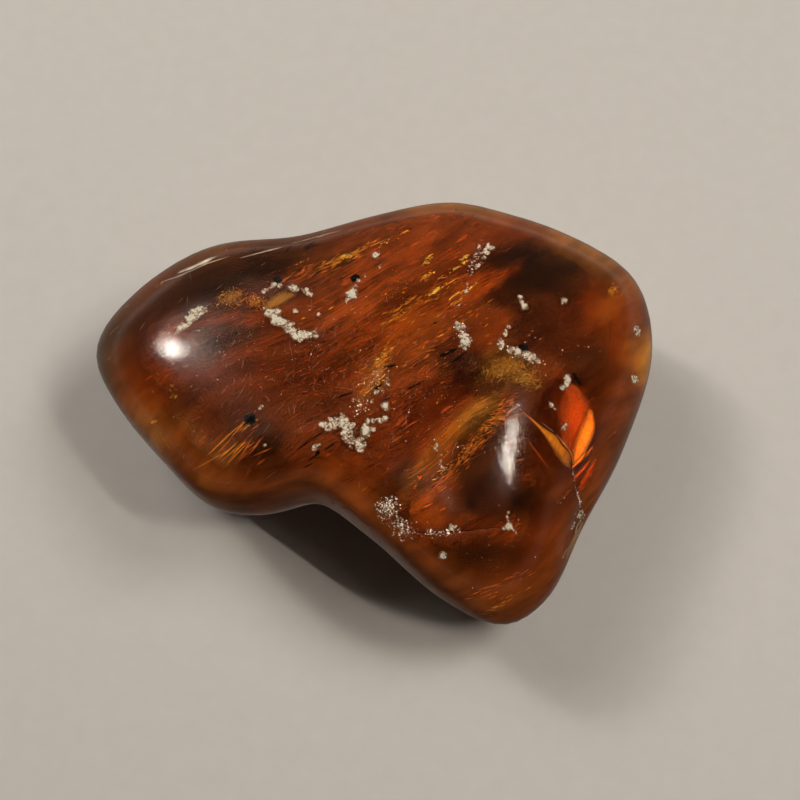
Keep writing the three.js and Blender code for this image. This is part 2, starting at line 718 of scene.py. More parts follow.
    def scatter(self, rng: Rng, count: int, depths: Pair, rim: float = 2.0) -> Array:
        """Random places under the skin, all round.

        Args:
            rng: Source of the places.
            count: How many.
            depths: Nearest and furthest below the skin, in mm.
            rim: How much deeper they lie at the sides, in mm.

        Returns:
            One place a row, in mm.
        """
        pick = rng.integers(0, len(self.faces), count)
        share = rng.dirichlet((1, 1, 1), count)[:, :, None]
        corners = self.faces[pick]
        skin = (self.skin_points[corners] * share).sum(axis=1)
        inward = unit((self.skin_normals[corners] * share).sum(axis=1))
        depth = depths[0] + (depths[1] - depths[0]) * rng.random(count) ** 1.3
        depth = depth + rim * self.sideways(inward)
        return skin - inward * depth[:, None]

    def swarm(self, cluster: Cluster, rng: Rng) -> tuple[Array, Array]:
        """Places of a cluster's things.

        Args:
            cluster: The cluster.
            rng: Source of the places.

        Returns:
            The places under the skin, in mm, and the skin's normals over them.
        """
        turn = math.radians(cluster.turn)
        offset = rng.normal(0, 0.5, (cluster.count, 2)) * np.array(cluster.size)
        x, y = self.plan(np.array(cluster.at))[0][:, None] + np.array(
            [
                offset[:, 0] * math.cos(turn) - offset[:, 1] * math.sin(turn),
                offset[:, 0] * math.sin(turn) + offset[:, 1] * math.cos(turn),
            ]
        )
        points, normals = self.settle(x, y)
        depth = cluster.depth * rng.uniform(0.6, 1.4, cluster.count)
        return points - normals * depth[:, None], normals


def distance_to_route(points: Array, route: Array) -> Array:
    """Distance from each point to a line of straight stretches.

    Args:
        points: Places, one row each.
        route: The line's corners, one row each.

    Returns:
        One distance for each point.
    """
    nearest = np.linalg.norm(points - route[0], axis=1)
    for start, end in zip(route[:-1], route[1:]):
        along = end - start
        share = np.clip((points - start) @ along / max(along @ along, 1e-9), 0, 1)
        nearest = np.minimum(nearest, np.linalg.norm(points - start - share[:, None] * along, axis=1))
    return nearest


# ---- Finishes ----


@dataclass(frozen=True)
class ResinFinish:
    """Clear polished resin that soaks up blue and green.

    Attributes:
        body_colour: What a unit thickness lets through, which sets the hue.
        soak: Absorption density, per metre.
        index: Refractive index of amber.
        polish: Roughness of the clear resin.
        wear: Height of the wear in its polish, in mm.
        bloom: How much of it a fine worn gloss covers, from 0 to 1.
    """

    body_colour: Colour = (0.87, 0.68, 0.13)
    soak: float = 300.0
    index: float = 1.54
    polish: float = 0.0
    wear: float = 0.011
    bloom: float = 0.45

    def make(self) -> Material:
        """Makes it, with fine rubbing marks in its polish.

        Returns:
            The material.
        """
        board = NodeBoard("polished_resin")
        scratches = board.noise(board.place_mm((0.8, 9.0, 1.0), 60), 1.0, 3.0)
        haze = board.noise(board.place_mm(), 0.35, 3.0)
        rubbed = board.math("MULTIPLY", scratches, haze)
        grains = board.noise(board.place_mm(), 6.0, 2.0)
        wear = board.math("ADD", grains, rubbed)
        grit = board.add("Bump", {"Height": wear, "Strength": 1.0, "Distance": self.wear * MM})
        dust = board.add("Bump", {"Height": grains, "Strength": 0.35, "Distance": 0.05 * MM})
        inputs = {
            "Base Color": (1, 1, 1, 1),
            "Roughness": self.polish,
            "IOR": self.index,
            "Transmission Weight": 1.0,
            "Specular IOR Level": 0.35,
            "Coat Weight": self.bloom,
            "Coat Roughness": 0.20,
            "Coat IOR": 1.5,
            "Normal": grit.outputs[0],
            "Coat Normal": dust.outputs[0],
        }
        soaked = board.add("VolumeAbsorption", {"Color": (*self.body_colour, 1), "Density": self.soak})
        return board.finish("BsdfPrincipled", inputs, soaked.outputs[0])


@dataclass(frozen=True)
class VeilFinish:
    """Clouded, fibrous resin whose colour and cover are marked on each veil.

    Attributes:
        name: The material's name.
        fibre: How much each axis of the flow is stretched for the fine fibres.
        slit: The same for the dark slits between them.
        cloud: The same for the broad clouds.
        ragged: How strongly the fibres tear the veil, 0 for a veil without gaps.
    """

    name: str
    fibre: Triple = (0.14, 5.5, 3.0)
    slit: Triple = (0.35, 5.5, 3.0)
    cloud: Triple = (0.16, 0.45, 0.35)
    ragged: float = 1.0

    def make(self) -> Material:
        """Makes it.

        Returns:
            The material.
        """
        board = NodeBoard(self.name)
        tint = board.mark("tint", "Vector")
        flow = board.mark("flow", "Vector")
        cover = board.mark("cover")
        calm = board.mark("calm")
        fine = board.noise(board.stretched(flow, self.fibre), 1.0, 3.0, Roughness=0.5)
        slits = board.noise(board.stretched(flow, self.slit), 1.0, 1.0, Roughness=0.5)
        broad = board.noise(board.stretched(flow, self.cloud), 1.0, 3.0, Roughness=0.5)
        patches = board.noise(board.place_mm(), 0.30, 2.0)
        smooth = board.ranged(board.noise(board.place_mm(), 0.16, 2.0), (0.40, 0.60))
        still = board.math("MAXIMUM", calm, board.math("MULTIPLY", smooth, 0.7))
        shade = board.colours(
            fine, [(0.34, (0.76,) * 3), (0.47, (0.94,) * 3), (0.56, (1.05,) * 3), (0.68, (1.35,) * 3)]
        )
        parted = board.math("ADD", slits, board.math("MULTIPLY", patches, -0.35))
        gash = board.colours(parted, [(0.115, (0.30,) * 3), (0.165, (1.0,) * 3)])
        mottle = board.colours(broad, [(0.36, (0.36,) * 3), (0.5, (0.92,) * 3), (0.64, (1.5,) * 3)])
        mottle = board.mix(board.math("MULTIPLY", calm, 0.5), mottle, (1, 1, 1, 1))
        fibrous = board.mix(still, board.mix(1.0, shade, gash, "MULTIPLY"), (1, 1, 1, 1))
        colour = board.mix(1.0, tint, board.mix(1.0, fibrous, mottle, "MULTIPLY"), "MULTIPLY")
        inputs = {"Base Color": colour, "Roughness": 0.8, "Specular IOR Level": 0.0}
        if self.ragged:
            torn = board.math("MULTIPLY", board.math("SUBTRACT", fine, 0.5), 0.7 * self.ragged)
            inputs["Alpha"] = board.math("ADD", torn, cover, clamp=True)
        return board.finish("BsdfPrincipled", inputs)


@dataclass(frozen=True)
class GrainFinish:
    """Small things sealed in the resin, each with a tint of its own.

    Attributes:
        name: The material's name.
        roughness: How matt they are.
        metal: How metallic they glint.
    """

    name: str
    roughness: float = 0.45
    metal: float = 0.15

    def make(self) -> Material:
        """Makes it, mottled a little within each tint.

        Returns:
            The material.
        """
        board = NodeBoard(self.name)
        tint = board.mark("tint", "Vector")
        mottle = board.noise(board.place_mm(), 3.0, 3.0)
        shade = board.colours(mottle, [(0.3, (0.7,) * 3), (0.7, (1.25,) * 3)])
        inputs = {
            "Base Color": board.mix(1.0, tint, shade, "MULTIPLY"),
            "Roughness": self.roughness,
            "Metallic": self.metal,
            "Specular IOR Level": 0.02,
        }
        return board.finish("BsdfPrincipled", inputs)


@dataclass(frozen=True)
class FilmFinish:
    """A glossy film along a healed crack, which glints in its own tint.

    Attributes:
        name: The material's name.
        roughness: How sharply it glints.
        metal: How much of it glints like foil.
        streaky: How strong its stripes are, 0 for none.
        grainy: How strong its fine grain is, 0 for none.
    """

    name: str = "crack_film"
    roughness: float = 0.5
    metal: float = 0.0
    streaky: float = 1.0
    grainy: float = 0.0

    def make(self) -> Material:
        """Makes it, with fine stripes along it.

        Returns:
            The material.
        """
        board = NodeBoard(self.name)
        tint = board.mark("tint", "Vector")
        stripes = board.noise(board.place_mm((0.6, 4.0, 1.0), 55), 1.0, 4.0)
        shade = board.colours(stripes, [(0.32, (0.75,) * 3), (0.5, (1.0,) * 3), (0.68, (1.2,) * 3)])
        speckle = board.noise(board.place_mm(), 8.0, 2.0)
        grain = board.colours(speckle, [(0.38, (0.5, 0.32, 0.26)), (0.60, (1.15,) * 3)])
        striped = board.mix(self.streaky, tint, shade, "MULTIPLY")
        inputs = {
            "Base Color": board.mix(self.grainy, striped, grain, "MULTIPLY"),
            "Roughness": self.roughness,
            "Metallic": self.metal,
            "Specular IOR Level": 0.05,
            "Alpha": board.mark("cover"),
        }
        return board.finish("BsdfPrincipled", inputs)


@dataclass(frozen=True)
class CrustFinish:
    """Chalky, matt crust, cream on top and brown where it thins out.

    Attributes:
        cream: Its colour where it stands proud.
        stain: Its colour in its hollows.
    """

    cream: Colour = (0.80, 0.71, 0.55)
    stain: Colour = (0.20, 0.10, 0.05)

    def make(self) -> Material:
        """Makes it.

        Returns:
            The material.
        """
        board = NodeBoard("chalky_crust")
        place = board.place_mm()
        height = board.mark("height")
        speckle = board.noise(place, 4.0, 4.0, Roughness=0.7)
        lifted = board.math("ADD", board.math("MULTIPLY", height, 4.0), speckle)
        middle = tuple(0.5 * (a + b) for a, b in zip(self.cream, self.stain))
        colour = board.colours(lifted, [(0.40, self.stain), (0.52, middle), (0.60, self.cream)])
        grit = board.noise(place, 9.0, 3.0)
        bump = board.add("Bump", {"Height": grit, "Strength": 0.6, "Distance": 0.03 * MM})
        inputs = {
            "Base Color": colour,
            "Roughness": 0.9,
            "Normal": bump.outputs[0],
            "Specular IOR Level": 0.2,
        }
        return board.finish("BsdfPrincipled", inputs)


@dataclass(frozen=True)
class FloorFinish:
    """Plain pale matt board."""

    colour: Colour = (0.72, 0.68, 0.64)

    def make(self) -> Material:
        """Makes it.

        Returns:
            The material.
        """
        board = NodeBoard("pale_floor")
        mottle = board.noise(board.place_mm(), 0.4, 3.0)
        darker = tuple(0.97 * c for c in self.colour)
        pale = board.colours(mottle, [(0.3, darker), (0.7, self.colour)])
        return board.finish("BsdfPrincipled", {"Base Color": pale, "Roughness": 0.9})


# ---- Colour zones and the way the resin flowed ----


class Tone(Enum):
    """Colours of what is sealed in the resin, before the resin above soaks up light, and of a few painted
    reflections and highlights.
    """

    PITCH = (0.006, 0.005, 0.004)
    SOOT = (0.028, 0.012, 0.004)
    UMBER = (0.10, 0.028, 0.009)
    RUST = (0.25, 0.052, 0.014)
    RUSSET = (0.38, 0.078, 0.018)
    AMBER = (0.50, 0.118, 0.020)
    CLAY = (0.30, 0.080, 0.018)
    OCHRE = (0.44, 0.20, 0.035)
    LOAM = (0.20, 0.064, 0.024)
    PEAT = (0.080, 0.048, 0.022)
    # painted reflection: this tone and the next paint the pale reflection of the room on the grazing rims;
    # this one also tints a glassy strip at the notch
    HAZE = (0.44, 0.22, 0.085)
    MIST = (0.36, 0.21, 0.115)
    # painted highlight: this tone and EMBER paint the flash of lamp light in a crack
    BLAZE = (0.60, 0.07, 0.008)
    ORANGE = (0.60, 0.12, 0.012)
    FLAME = (0.80, 0.16, 0.010)
    HONEY = (0.64, 0.24, 0.025)
    EMBER = (0.95, 0.23, 0.012)
    GOLD = (1.0, 0.60, 0.08)
    TOPAZ = (0.95, 0.31, 0.022)
    DUSK = (0.37, 0.13, 0.055)
    # partly painted highlight: besides crust, grains and scratches, this tone paints pale highlight streaks
    # on the ridge and the notch
    CHALK = (0.72, 0.62, 0.50)
    BLUSH = (0.80, 0.52, 0.38)

    def over(self, count: int) -> Array:
        """This tone for each of count vertices."""
        return np.tile(np.array(self.value), (count, 1))

    def uneven(self, spread: float, rng: Rng, count: int) -> Array:
        """This tone for each of count things, with its brightness straying by spread."""
        return np.array(self.value) * np.exp(rng.normal(0, spread, count))[:, None]


@dataclass(frozen=True)
class Zone:
    """A soft-edged patch of one tone in plan.

    Attributes:
        at: Its centre.
        size: Half its length and half its width, in mm.
        turn: Direction of its length, in degrees.
        tone: Its tone.
        strength: How fully it covers what lies under it in the list.
        calm: How smooth the resin is in it, from 0 to 1.
        soft: Width of its soft edge, as a share of its size.
        foot: Height at which it has faded away, in mm, or less than 0 if it reaches all the way down.
    """

    at: Place
    size: Pair
    turn: float
    tone: Tone
    strength: float = 0.9
    calm: float = 0.0
    soft: float = 0.4
    foot: float = -20.0


ZONES = (
    Zone((0.24, 0.5), (10.0, 8.0), 20, Tone.RUST, 0.8, 0.4),
    Zone((0.2, 0.56), (3.4, 1.6), -10, Tone.UMBER, 0.6, 0.3),
    Zone((0.235, 0.605), (5.0, 2.0), 10, Tone.SOOT, 0.75, 0.4),
    Zone((0.22, 0.42), (7.0, 4.0), -10, Tone.UMBER, 0.55, 0.6),
    Zone((0.25, 0.78), (12.0, 3.4), 19, Tone.SOOT, 0.95, 0.4),
    Zone((0.38, 0.86), (6.5, 1.4), 20, Tone.SOOT, 0.8, 0.4),
    Zone((0.09, 0.66), (3.6, 6.0), -35, Tone.SOOT, 0.8, 0.8),
    Zone((0.16, 0.57), (3.5, 2.0), 20, Tone.RUST, 0.5, 0.6),
    Zone((0.37, 0.42), (5.5, 4.5), 30, Tone.UMBER, 0.45, 0.4),
    Zone((0.4, 0.55), (6.0, 4.5), 35, Tone.RUST, 0.5, 0.3),
    Zone((0.41, 0.36), (4.0, 2.6), 35, Tone.RUSSET, 0.8, 0.2),
    Zone((0.33, 0.34), (1.4, 4.0), 20, Tone.SOOT, 0.7, 0.4),
    Zone((0.29, 0.33), (3.0, 2.2), 30, Tone.UMBER, 0.7, 0.2),
    Zone((0.55, 0.62), (8.0, 4.0), 40, Tone.AMBER, 0.45, 0.2),
    Zone((0.5, 0.51), (3.8, 0.9), 62, Tone.HONEY, 0.9, 0.2),
    Zone((0.55, 0.42), (6.0, 5.0), 45, Tone.RUSSET, 0.6, 0.2),
    Zone((0.6, 0.86), (10.0, 2.4), 8, Tone.RUSSET, 0.6, 0.6),
    Zone((0.48, 0.84), (5.0, 1.4), 27, Tone.UMBER, 0.5),
    Zone((0.39, 0.76), (5.4, 2.0), 27, Tone.UMBER, 0.65, 0.2),
    Zone((0.525, 0.26), (4.2, 2.8), 40, Tone.UMBER, 0.75, 0.3),
    Zone((0.51, 0.33), (3.0, 1.6), 40, Tone.RUST, 0.7, 0.2),
    Zone((0.46, 0.24), (2.6, 1.2), -25, Tone.UMBER, 0.6, 0.4),
    Zone((0.78, 0.86), (5.0, 1.8), -25, Tone.RUST, 0.7, 0.8),
    Zone((0.8, 0.79), (7.6, 4.0), -4, Tone.SOOT, 0.97, 0.8, 0.25),
    Zone((0.73, 0.71), (4.4, 2.2), 38, Tone.SOOT, 0.85, 0.5),
    Zone((0.75, 0.65), (3.0, 3.0), 70, Tone.UMBER, 0.8, 0.5),
    Zone((0.7, 0.75), (3.6, 0.6), 38, Tone.ORANGE, 0.7, 0.4),
    Zone((0.69, 0.64), (2.0, 2.4), 10, Tone.RUSSET, 0.95, 1.0, 0.2),
    Zone((0.585, 0.65), (3.0, 1.4), 12, Tone.AMBER, 0.7, 1.0, 0.2),
    Zone((0.83, 0.62), (4.0, 5.0), 30, Tone.UMBER, 0.6, 0.9),
    Zone((0.89, 0.68), (2.8, 5.0), 30, Tone.RUSSET, 0.7, 0.9),
    Zone((0.9, 0.72), (1.0, 2.4), -25, Tone.HONEY, 0.45, 0.7),
    # painted reflection: the pale far rim, where the room shows at grazing angles
    Zone((0.62, 0.985), (11.0, 1.8), 0, Tone.HAZE, 0.65, 1.0, 0.5),
    Zone((0.84, 0.9), (5.0, 1.4), -35, Tone.HAZE, 0.55, 1.0, 0.5),
    Zone((0.87, 0.56), (3.6, 2.6), 0, Tone.UMBER, 0.6, 0.7),
    Zone((0.9, 0.42), (3.0, 8.0), -20, Tone.RUST, 0.85, 1.0),
    Zone((0.71, 0.53), (3.8, 2.2), 20, Tone.OCHRE, 0.8),
    Zone((0.64, 0.54), (2.2, 2.8), 60, Tone.UMBER, 0.8),
    Zone((0.76, 0.45), (3.6, 3.0), -50, Tone.UMBER, 0.7, 0.8),
    Zone((0.61, 0.36), (6.5, 1.0), 50, Tone.HONEY, 0.35),
    Zone((0.67, 0.43), (3.4, 1.2), 50, Tone.OCHRE, 0.7),
    Zone((0.67, 0.33), (4.0, 2.4), 48, Tone.UMBER, 0.9, 0.9),
    Zone((0.74, 0.34), (3.4, 4.6), 60, Tone.UMBER, 0.7, 0.9),
    Zone((0.6, 0.235), (3.0, 1.8), 42, Tone.ORANGE, 0.85, 0.8, 0.3),
    Zone((0.7, 0.25), (5.6, 2.2), 8, Tone.SOOT, 0.8, 0.9),
    Zone((0.735, 0.25), (1.7, 1.0), 25, Tone.PITCH, 0.9, 0.9, 0.3),
    Zone((0.655, 0.23), (0.9, 0.5), 60, Tone.PITCH, 0.85, 0.9, 0.3),
    Zone((0.65, 0.12), (9.0, 3.0), -4, Tone.SOOT, 0.85, 0.9),
    Zone((0.55, 0.09), (4.0, 3.0), -42, Tone.UMBER, 0.6, 0.9),
    Zone((0.79, 0.2), (2.2, 5.0), -25, Tone.RUST, 0.9, 1.0),
    Zone((0.72, 0.09), (4.0, 2.0), 20, Tone.RUST, 0.8, 0.7),
    Zone((0.56, 0.14), (4.0, 1.8), -40, Tone.RUST, 0.8, 1.0),
    Zone((0.69, 0.05), (5.0, 1.2), 10, Tone.AMBER, 0.4, 0.4),
    Zone((0.82, 0.48), (2.0, 2.0), 0, Tone.ORANGE, 0.9, 1.0, 0.3),
    Zone((0.205, 0.375), (6.5, 1.6), -36, Tone.DUSK, 0.75, 1.0),
)


CLEARINGS = (((0.845, 0.42), 2.6), ((0.82, 0.44), 2.0), ((0.86, 0.31), 1.6), ((0.8, 0.36), 1.4))

# Tones of the pebble's sides. The pale ones paint the reflection of the room on the grazing rims.
RIM_ZONES = (
    Zone((0.02, 0.62), (4.0, 10.0), 0, Tone.PEAT, 0.95, 1.0, 0.5),
    Zone((0.1, 0.4), (5.0, 3.0), -50, Tone.DUSK, 0.9, 1.0, 0.5),
    Zone((0.25, 0.93), (13.0, 3.4), 18, Tone.MIST, 0.9, 1.0, 0.5),
    Zone((0.64, 0.98), (12.0, 3.0), 0, Tone.HAZE, 0.9, 1.0, 0.5),
    Zone((0.87, 0.88), (7.0, 3.4), -35, Tone.HAZE, 0.8, 1.0, 0.5),
    Zone((0.12, 0.4), (3.8, 1.4), -50, Tone.MIST, 0.7, 1.0, 0.7),
    Zone((0.24, 0.28), (2.0, 0.8), -35, Tone.OCHRE, 0.5, 1.0, 0.8),
    Zone((0.29, 0.26), (5.0, 3.4), -20, Tone.UMBER, 0.75, 1.0, 0.6),
    Zone((0.42, 0.2), (7.0, 3.4), -10, Tone.CLAY, 0.9, 1.0, 0.6),
    Zone((0.54, 0.1), (6.0, 3.4), -42, Tone.UMBER, 0.7, 1.0, 0.6),
    Zone((0.9, 0.15), (9.0, 9.0), -30, Tone.CLAY, 0.9, 1.0, 0.5),
    Zone((0.74, 0.0), (6.0, 2.0), 0, Tone.CLAY, 0.7, 1.0, 0.5),
    Zone((0.96, 0.42), (2.6, 5.0), -15, Tone.LOAM, 0.95, 1.0, 0.5),
    # painted light: a gold window where light shines through the thin right edge
    Zone((0.965, 0.63), (2.6, 2.6), 0, Tone.HONEY, 0.95, 1.0, 0.8, 5.0),
    Zone((0.96, 0.62), (1.8, 2.2), 0, Tone.GOLD, 0.35, 1.0, 0.8, 5.0),
)


@dataclass(frozen=True)
class Eddy:
    """A region where the resin flowed in another direction.

    Attributes:
        at: Its centre.
        reach: How far it reaches, in mm.
        turn: How far the flow is turned there, in degrees anticlockwise.
    """

    at: Place
    reach: float
    turn: float


EDDIES = (
    Eddy((0.24, 0.76), 8.0, -7),
    Eddy((0.74, 0.72), 6.0, 5),
    Eddy((0.28, 0.37), 5.5, 19),
    Eddy((0.62, 0.38), 5.5, 14),
    Eddy((0.69, 0.08), 6.0, -7),
    Eddy((0.86, 0.4), 4.0, 22),
)


@dataclass(frozen=True)
class Flow:
    """The way the resin flowed, which its streaks and its colours follow.

    Attributes:
        pebble: The pebble that it fills.
        lean: Main direction of the flow, in degrees anticlockwise from +X.
        drift: How much the streams climb with height.
        waver: How far the streams waver, in mm.
        wobble: How far the feet of the zones rise and fall, in mm.
        foot_fade: Height over which a zone fades at its foot, in mm.
    """

    pebble: Pebble
    lean: float = 33.0
    drift: float = 0.25
    waver: float = 0.9
    wobble: float = 4.0
    foot_fade: float = 10.0

    def _across(self, points: Array) -> Array:
        """Finds the stream that each point lies in.

        Args:
            points: Places in mm, one row each.

        Returns:
            Its distance across the flow for each point, in mm.
        """
        c, s = math.cos(math.radians(self.lean)), math.sin(math.radians(self.lean))
        x, y = points[:, 0], points[:, 1]
        stream = y * c - x * s + self.drift * points[:, 2]
        for eddy in EDDIES:
            centre = self.pebble.plan(eddy.at)[0]
            dx, dy = x - centre[0], y - centre[1]
            pull = math.tan(math.radians(eddy.turn)) * (dx * c + dy * s)
            stream = stream - pull * bell(np.hypot(dx, dy), eddy.reach)
        drawn = points * 0.5
        return stream + self.waver * Cloud(5, 4.5, 2).at(drawn)

    def streams(self, points: Array) -> Array:
        """Measures places by the flow.

        Args:
            points: Places in mm, one row each.

        Returns:
            How far along, across and above the flow each lies, in mm.
        """
        c, s = math.cos(math.radians(self.lean)), math.sin(math.radians(self.lean))
        along = points[:, 0] * c + points[:, 1] * s
        return np.column_stack([along, self._across(points), points[:, 2]])

    def direction(self, points: Array) -> Array:
        """Finds which way the flow runs.

        Args:
            points: Places in mm, one row each.

        Returns:
            A unit vector along the flow for each, level with the floor.
        """
        step = 0.2
        here = self._across(points)
        slope_x = self._across(points + np.array([step, 0, 0])) - here
        slope_y = self._across(points + np.array([0, step, 0])) - here
        return unit(np.column_stack([slope_y, -slope_x, np.zeros(len(points))]))

    def tint(self, points: Array, base: Tone, zones: tuple[Zone, ...] = ZONES) -> tuple[Array, Array]:
        """Colour and calm at places, from the zones.

        Args:
            points: Places in mm.
            base: The tone away from every zone.
            zones: The zones that colour them.

        Returns:
            One linear colour a row, and how smooth the resin is at each place, from 0 to 1.
        """
        colour = base.over(len(points))
        calm = np.full(len(points), 0.25)
        streams = self.streams(points) * np.array([0.12, 1.0, 0.3])
        ragged = 1.6 * Cloud(71, 1.1, 3).at(streams)
        pushed = points[:, :2] + self.direction(points)[:, :2] * ragged[:, None]
        height = points[:, 2] + self.wobble * Cloud(72, 4.0, 2).at(points)
        for zone in zones:
            dx, dy = (pushed - self.pebble.plan(zone.at)[0]).T
            c, s = math.cos(math.radians(zone.turn)), math.sin(math.radians(zone.turn))
            distance = np.hypot((dx * c + dy * s) / zone.size[0], (dy * c - dx * s) / zone.size[1])
            share = zone.strength * (1 - ramp(distance, 1 - zone.soft, 1 + zone.soft))
            share = share * ramp(height, zone.foot, zone.foot + self.foot_fade)
            colour = colour * (1 - share[:, None]) + np.array(zone.tone.value) * share[:, None]
            calm = calm * (1 - share) + zone.calm * share
        return colour, calm


# ---- Sub-assemblies ----


@dataclass
class AmberBody:
    """The clear pebble itself."""

    pebble: Pebble
    finish: ResinFinish = ResinFinish()

    def build(self) -> Piece:
        """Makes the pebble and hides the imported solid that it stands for.

        Returns:
            The piece.
        """
        arrays = self.pebble.vertices, self.pebble.faces
        piece = make_piece("amber_body", *arrays, self.finish.make(), Slot.AMBER)
        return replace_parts(piece, self.pebble.node.name)


@dataclass
class FlowVeil:
    """A wavy sheet of clouded resin that follows the skin from within.

    Attributes:
        name: The piece's name.
        depth: How far it lies below the skin, in mm.
        wave: How far the depth strays, in mm.
        tone: Its tone away from the zones.
        cover: How much of it is there, from 0 to 1.
        seed: Picks its waves and its gaps.
        still: How smooth it is away from the zones, from 0 to 1.
        side: Its depth at the pebble's sides, in mm.
        under: Its depth over the underside, in mm.
        edge: Its tone at the pebble's sides.
    """

    pebble: Pebble
    flow: Flow
    name: str
    depth: float
    wave: float
    tone: Tone
    cover: float
    seed: int
    still: float = 0.0
    side: float = 4.0
    under: float = 1.2
    edge: Tone = Tone.LOAM

    def build(self, material: Material) -> Piece:
        """Makes the veil.

        Args:
            material: Its finish.

        Returns:
            The piece.
        """
        skin = self.pebble.skin_points
        rays = skin - self.pebble.centre
        reach = np.linalg.norm(rays, axis=1)
        rays = rays / reach[:, None]
        slant = np.clip((rays * self.pebble.skin_normals).sum(axis=1), 0.4, 1)
        beside = self.pebble.sideways(self.pebble.skin_normals)
        below = ramp(self.pebble.skin_normals[:, 2], 0.05, -0.55)
        depth = self.depth * (1 - beside) + self.side * beside
        depth = depth * (1 - below) + self.under * below
        swing = 1.6 - 1.2 * np.maximum(below, beside)
        depth = depth + self.wave * swing * Cloud(self.seed, 8.0, 3).at(skin)
        reach = np.maximum(reach - np.maximum(depth, 0.5) / slant, 0.15 * reach)
        points = self.pebble.centre + rays * reach[:, None]
        colour, calm = self.flow.tint(points, self.tone)
        streams = self.flow.streams(points)
        patches = Cloud(self.seed + 1, 5.0, 3).at(streams * np.array([0.35, 1.0, 0.6]))
        # side tones from the rim zones: painted reflection on the pale rims and painted light in the gold
        # window
        edge_colour, _ = self.flow.tint(points, self.edge, RIM_ZONES)
        colour = colour + (edge_colour - colour) * (0.9 * beside[:, None])
        calm = np.clip(calm + self.still + beside, 0, 1)
        cover = self.cover + 0.9 * patches - 2.0 * ramp(beside, 0.05, 0.5)
        for at, reach in CLEARINGS:
            away = np.linalg.norm(points[:, :2] - self.pebble.plan(at)[0], axis=1)
            cover = cover - 2.0 * bell(away, reach)
        marks = {"tint": colour, "calm": calm, "flow": streams, "cover": cover}
        return make_piece(self.name, points, self.pebble.faces, material, Slot.STREAK, marks)


@dataclass
class Needles:
    """Thousands of fine spindles that follow the flow.

    Attributes:
        name: The piece's name.
        count: How many are tried.
        depths: Nearest and furthest below the skin, in mm.
        lengths: Shortest and longest, in mm.
        width: Half the width of an average one, in mm.
        tone: Their tone away from the zones.
        seed: Picks their places and shapes.
        stray: How far their direction strays, in degrees.
        spread: How far their brightness strays.
        clumping: How strongly they gather into bundles.
    """

    pebble: Pebble
    flow: Flow
    name: str
    count: int
    depths: Pair
    lengths: Pair
    width: float
    tone: Tone
    seed: int
    stray: float = 5.0
    spread: float = 0.5
    clumping: float = 0.9

    def build(self, material: Material) -> Piece:
        """Makes the needles as one piece.

        Args:
            material: Their finish.

        Returns:
            The piece.
        """
        rng = np.random.default_rng(self.seed)
        points = self.pebble.scatter(rng, self.count, self.depths)
        dense = Cloud(self.seed + 5, 2.5, 3).at(self.flow.streams(points) * np.array([0.3, 1.0, 1.0]))
        _, calm = self.flow.tint(points, self.tone)
        keep = dense * 0.5 + 0.5 > self.clumping * rng.random(self.count)
        keep &= rng.random(self.count) > 0.9 * calm
        points = points[keep]
        along = self.flow.direction(points)
        turn = np.radians(rng.normal(0, self.stray, len(points)))[:, None]
        across = np.column_stack([-along[:, 1], along[:, 0], np.zeros(len(points))])
        along = along * np.cos(turn) + across * np.sin(turn)
        along[:, 2] = rng.normal(0, math.radians(self.stray), len(points))
        along = unit(along)
        length = scaled_draws(self.lengths, rng, len(points))
        girth = self.width * np.exp(rng.normal(0, 0.35, len(points)))
        reach = along * length[:, None] / 2
        tips = np.concatenate([points + reach, points - reach])
        good = self.pebble.covers(tips, 0.35).reshape(2, -1).all(axis=0)
        points, along, length, girth = points[good], along[good], length[good], girth[good]
        vertices, faces = spindles(points, along, length, girth, rng)
        colour, _ = self.flow.tint(points, self.tone)
        colour = colour * np.exp(rng.normal(0, self.spread, len(points)))[:, None]
        marks = {"tint": np.repeat(colour, 6, axis=0)}
        return make_piece(self.name, vertices, faces, material, Slot.STREAK, marks, smooth=False)


def spindles(points: Array, along: Array, length: Array, girth: Array, rng: Rng) -> tuple[Array, Array]:
    """Closed flat spindles, six corners and eight faces each.

    Args:
        points: Their middles.
        along: Their directions.
        length: Their lengths.
        girth: Half their widths.
        rng: Source of their roll.

    Returns:
        Vertices and faces.
    """
    side = unit(np.cross(along, np.array([0.01, 0.02, 1.0])))
    lift = np.cross(side, along)
    roll = rng.uniform(-0.9, 0.9, len(points))[:, None]
    side, lift = side * np.cos(roll) + lift * np.sin(roll), lift * np.cos(roll) - side * np.sin(roll)
    girth, half = girth[:, None], length[:, None] / 2
    shift = along * half * rng.uniform(-0.4, 0.4, (len(points), 1))
    corners = np.stack(
        [
            points - along * half,
            points + shift + side * girth,
            points + shift + lift * girth * 0.4,
            points + shift - side * girth,
            points + shift - lift * girth * 0.4,
            points + along * half,
        ],
        axis=1,
    )
    tip, tail = 0, 5
    ends = [[tip, 2, 1], [tip, 3, 2], [tip, 4, 3], [tip, 1, 4]]
    pattern = np.array(ends + [[tail, 1, 2], [tail, 2, 3], [tail, 3, 4], [tail, 4, 1]])
    return corners.reshape(-1, 3), repeated(pattern, 6, len(points))


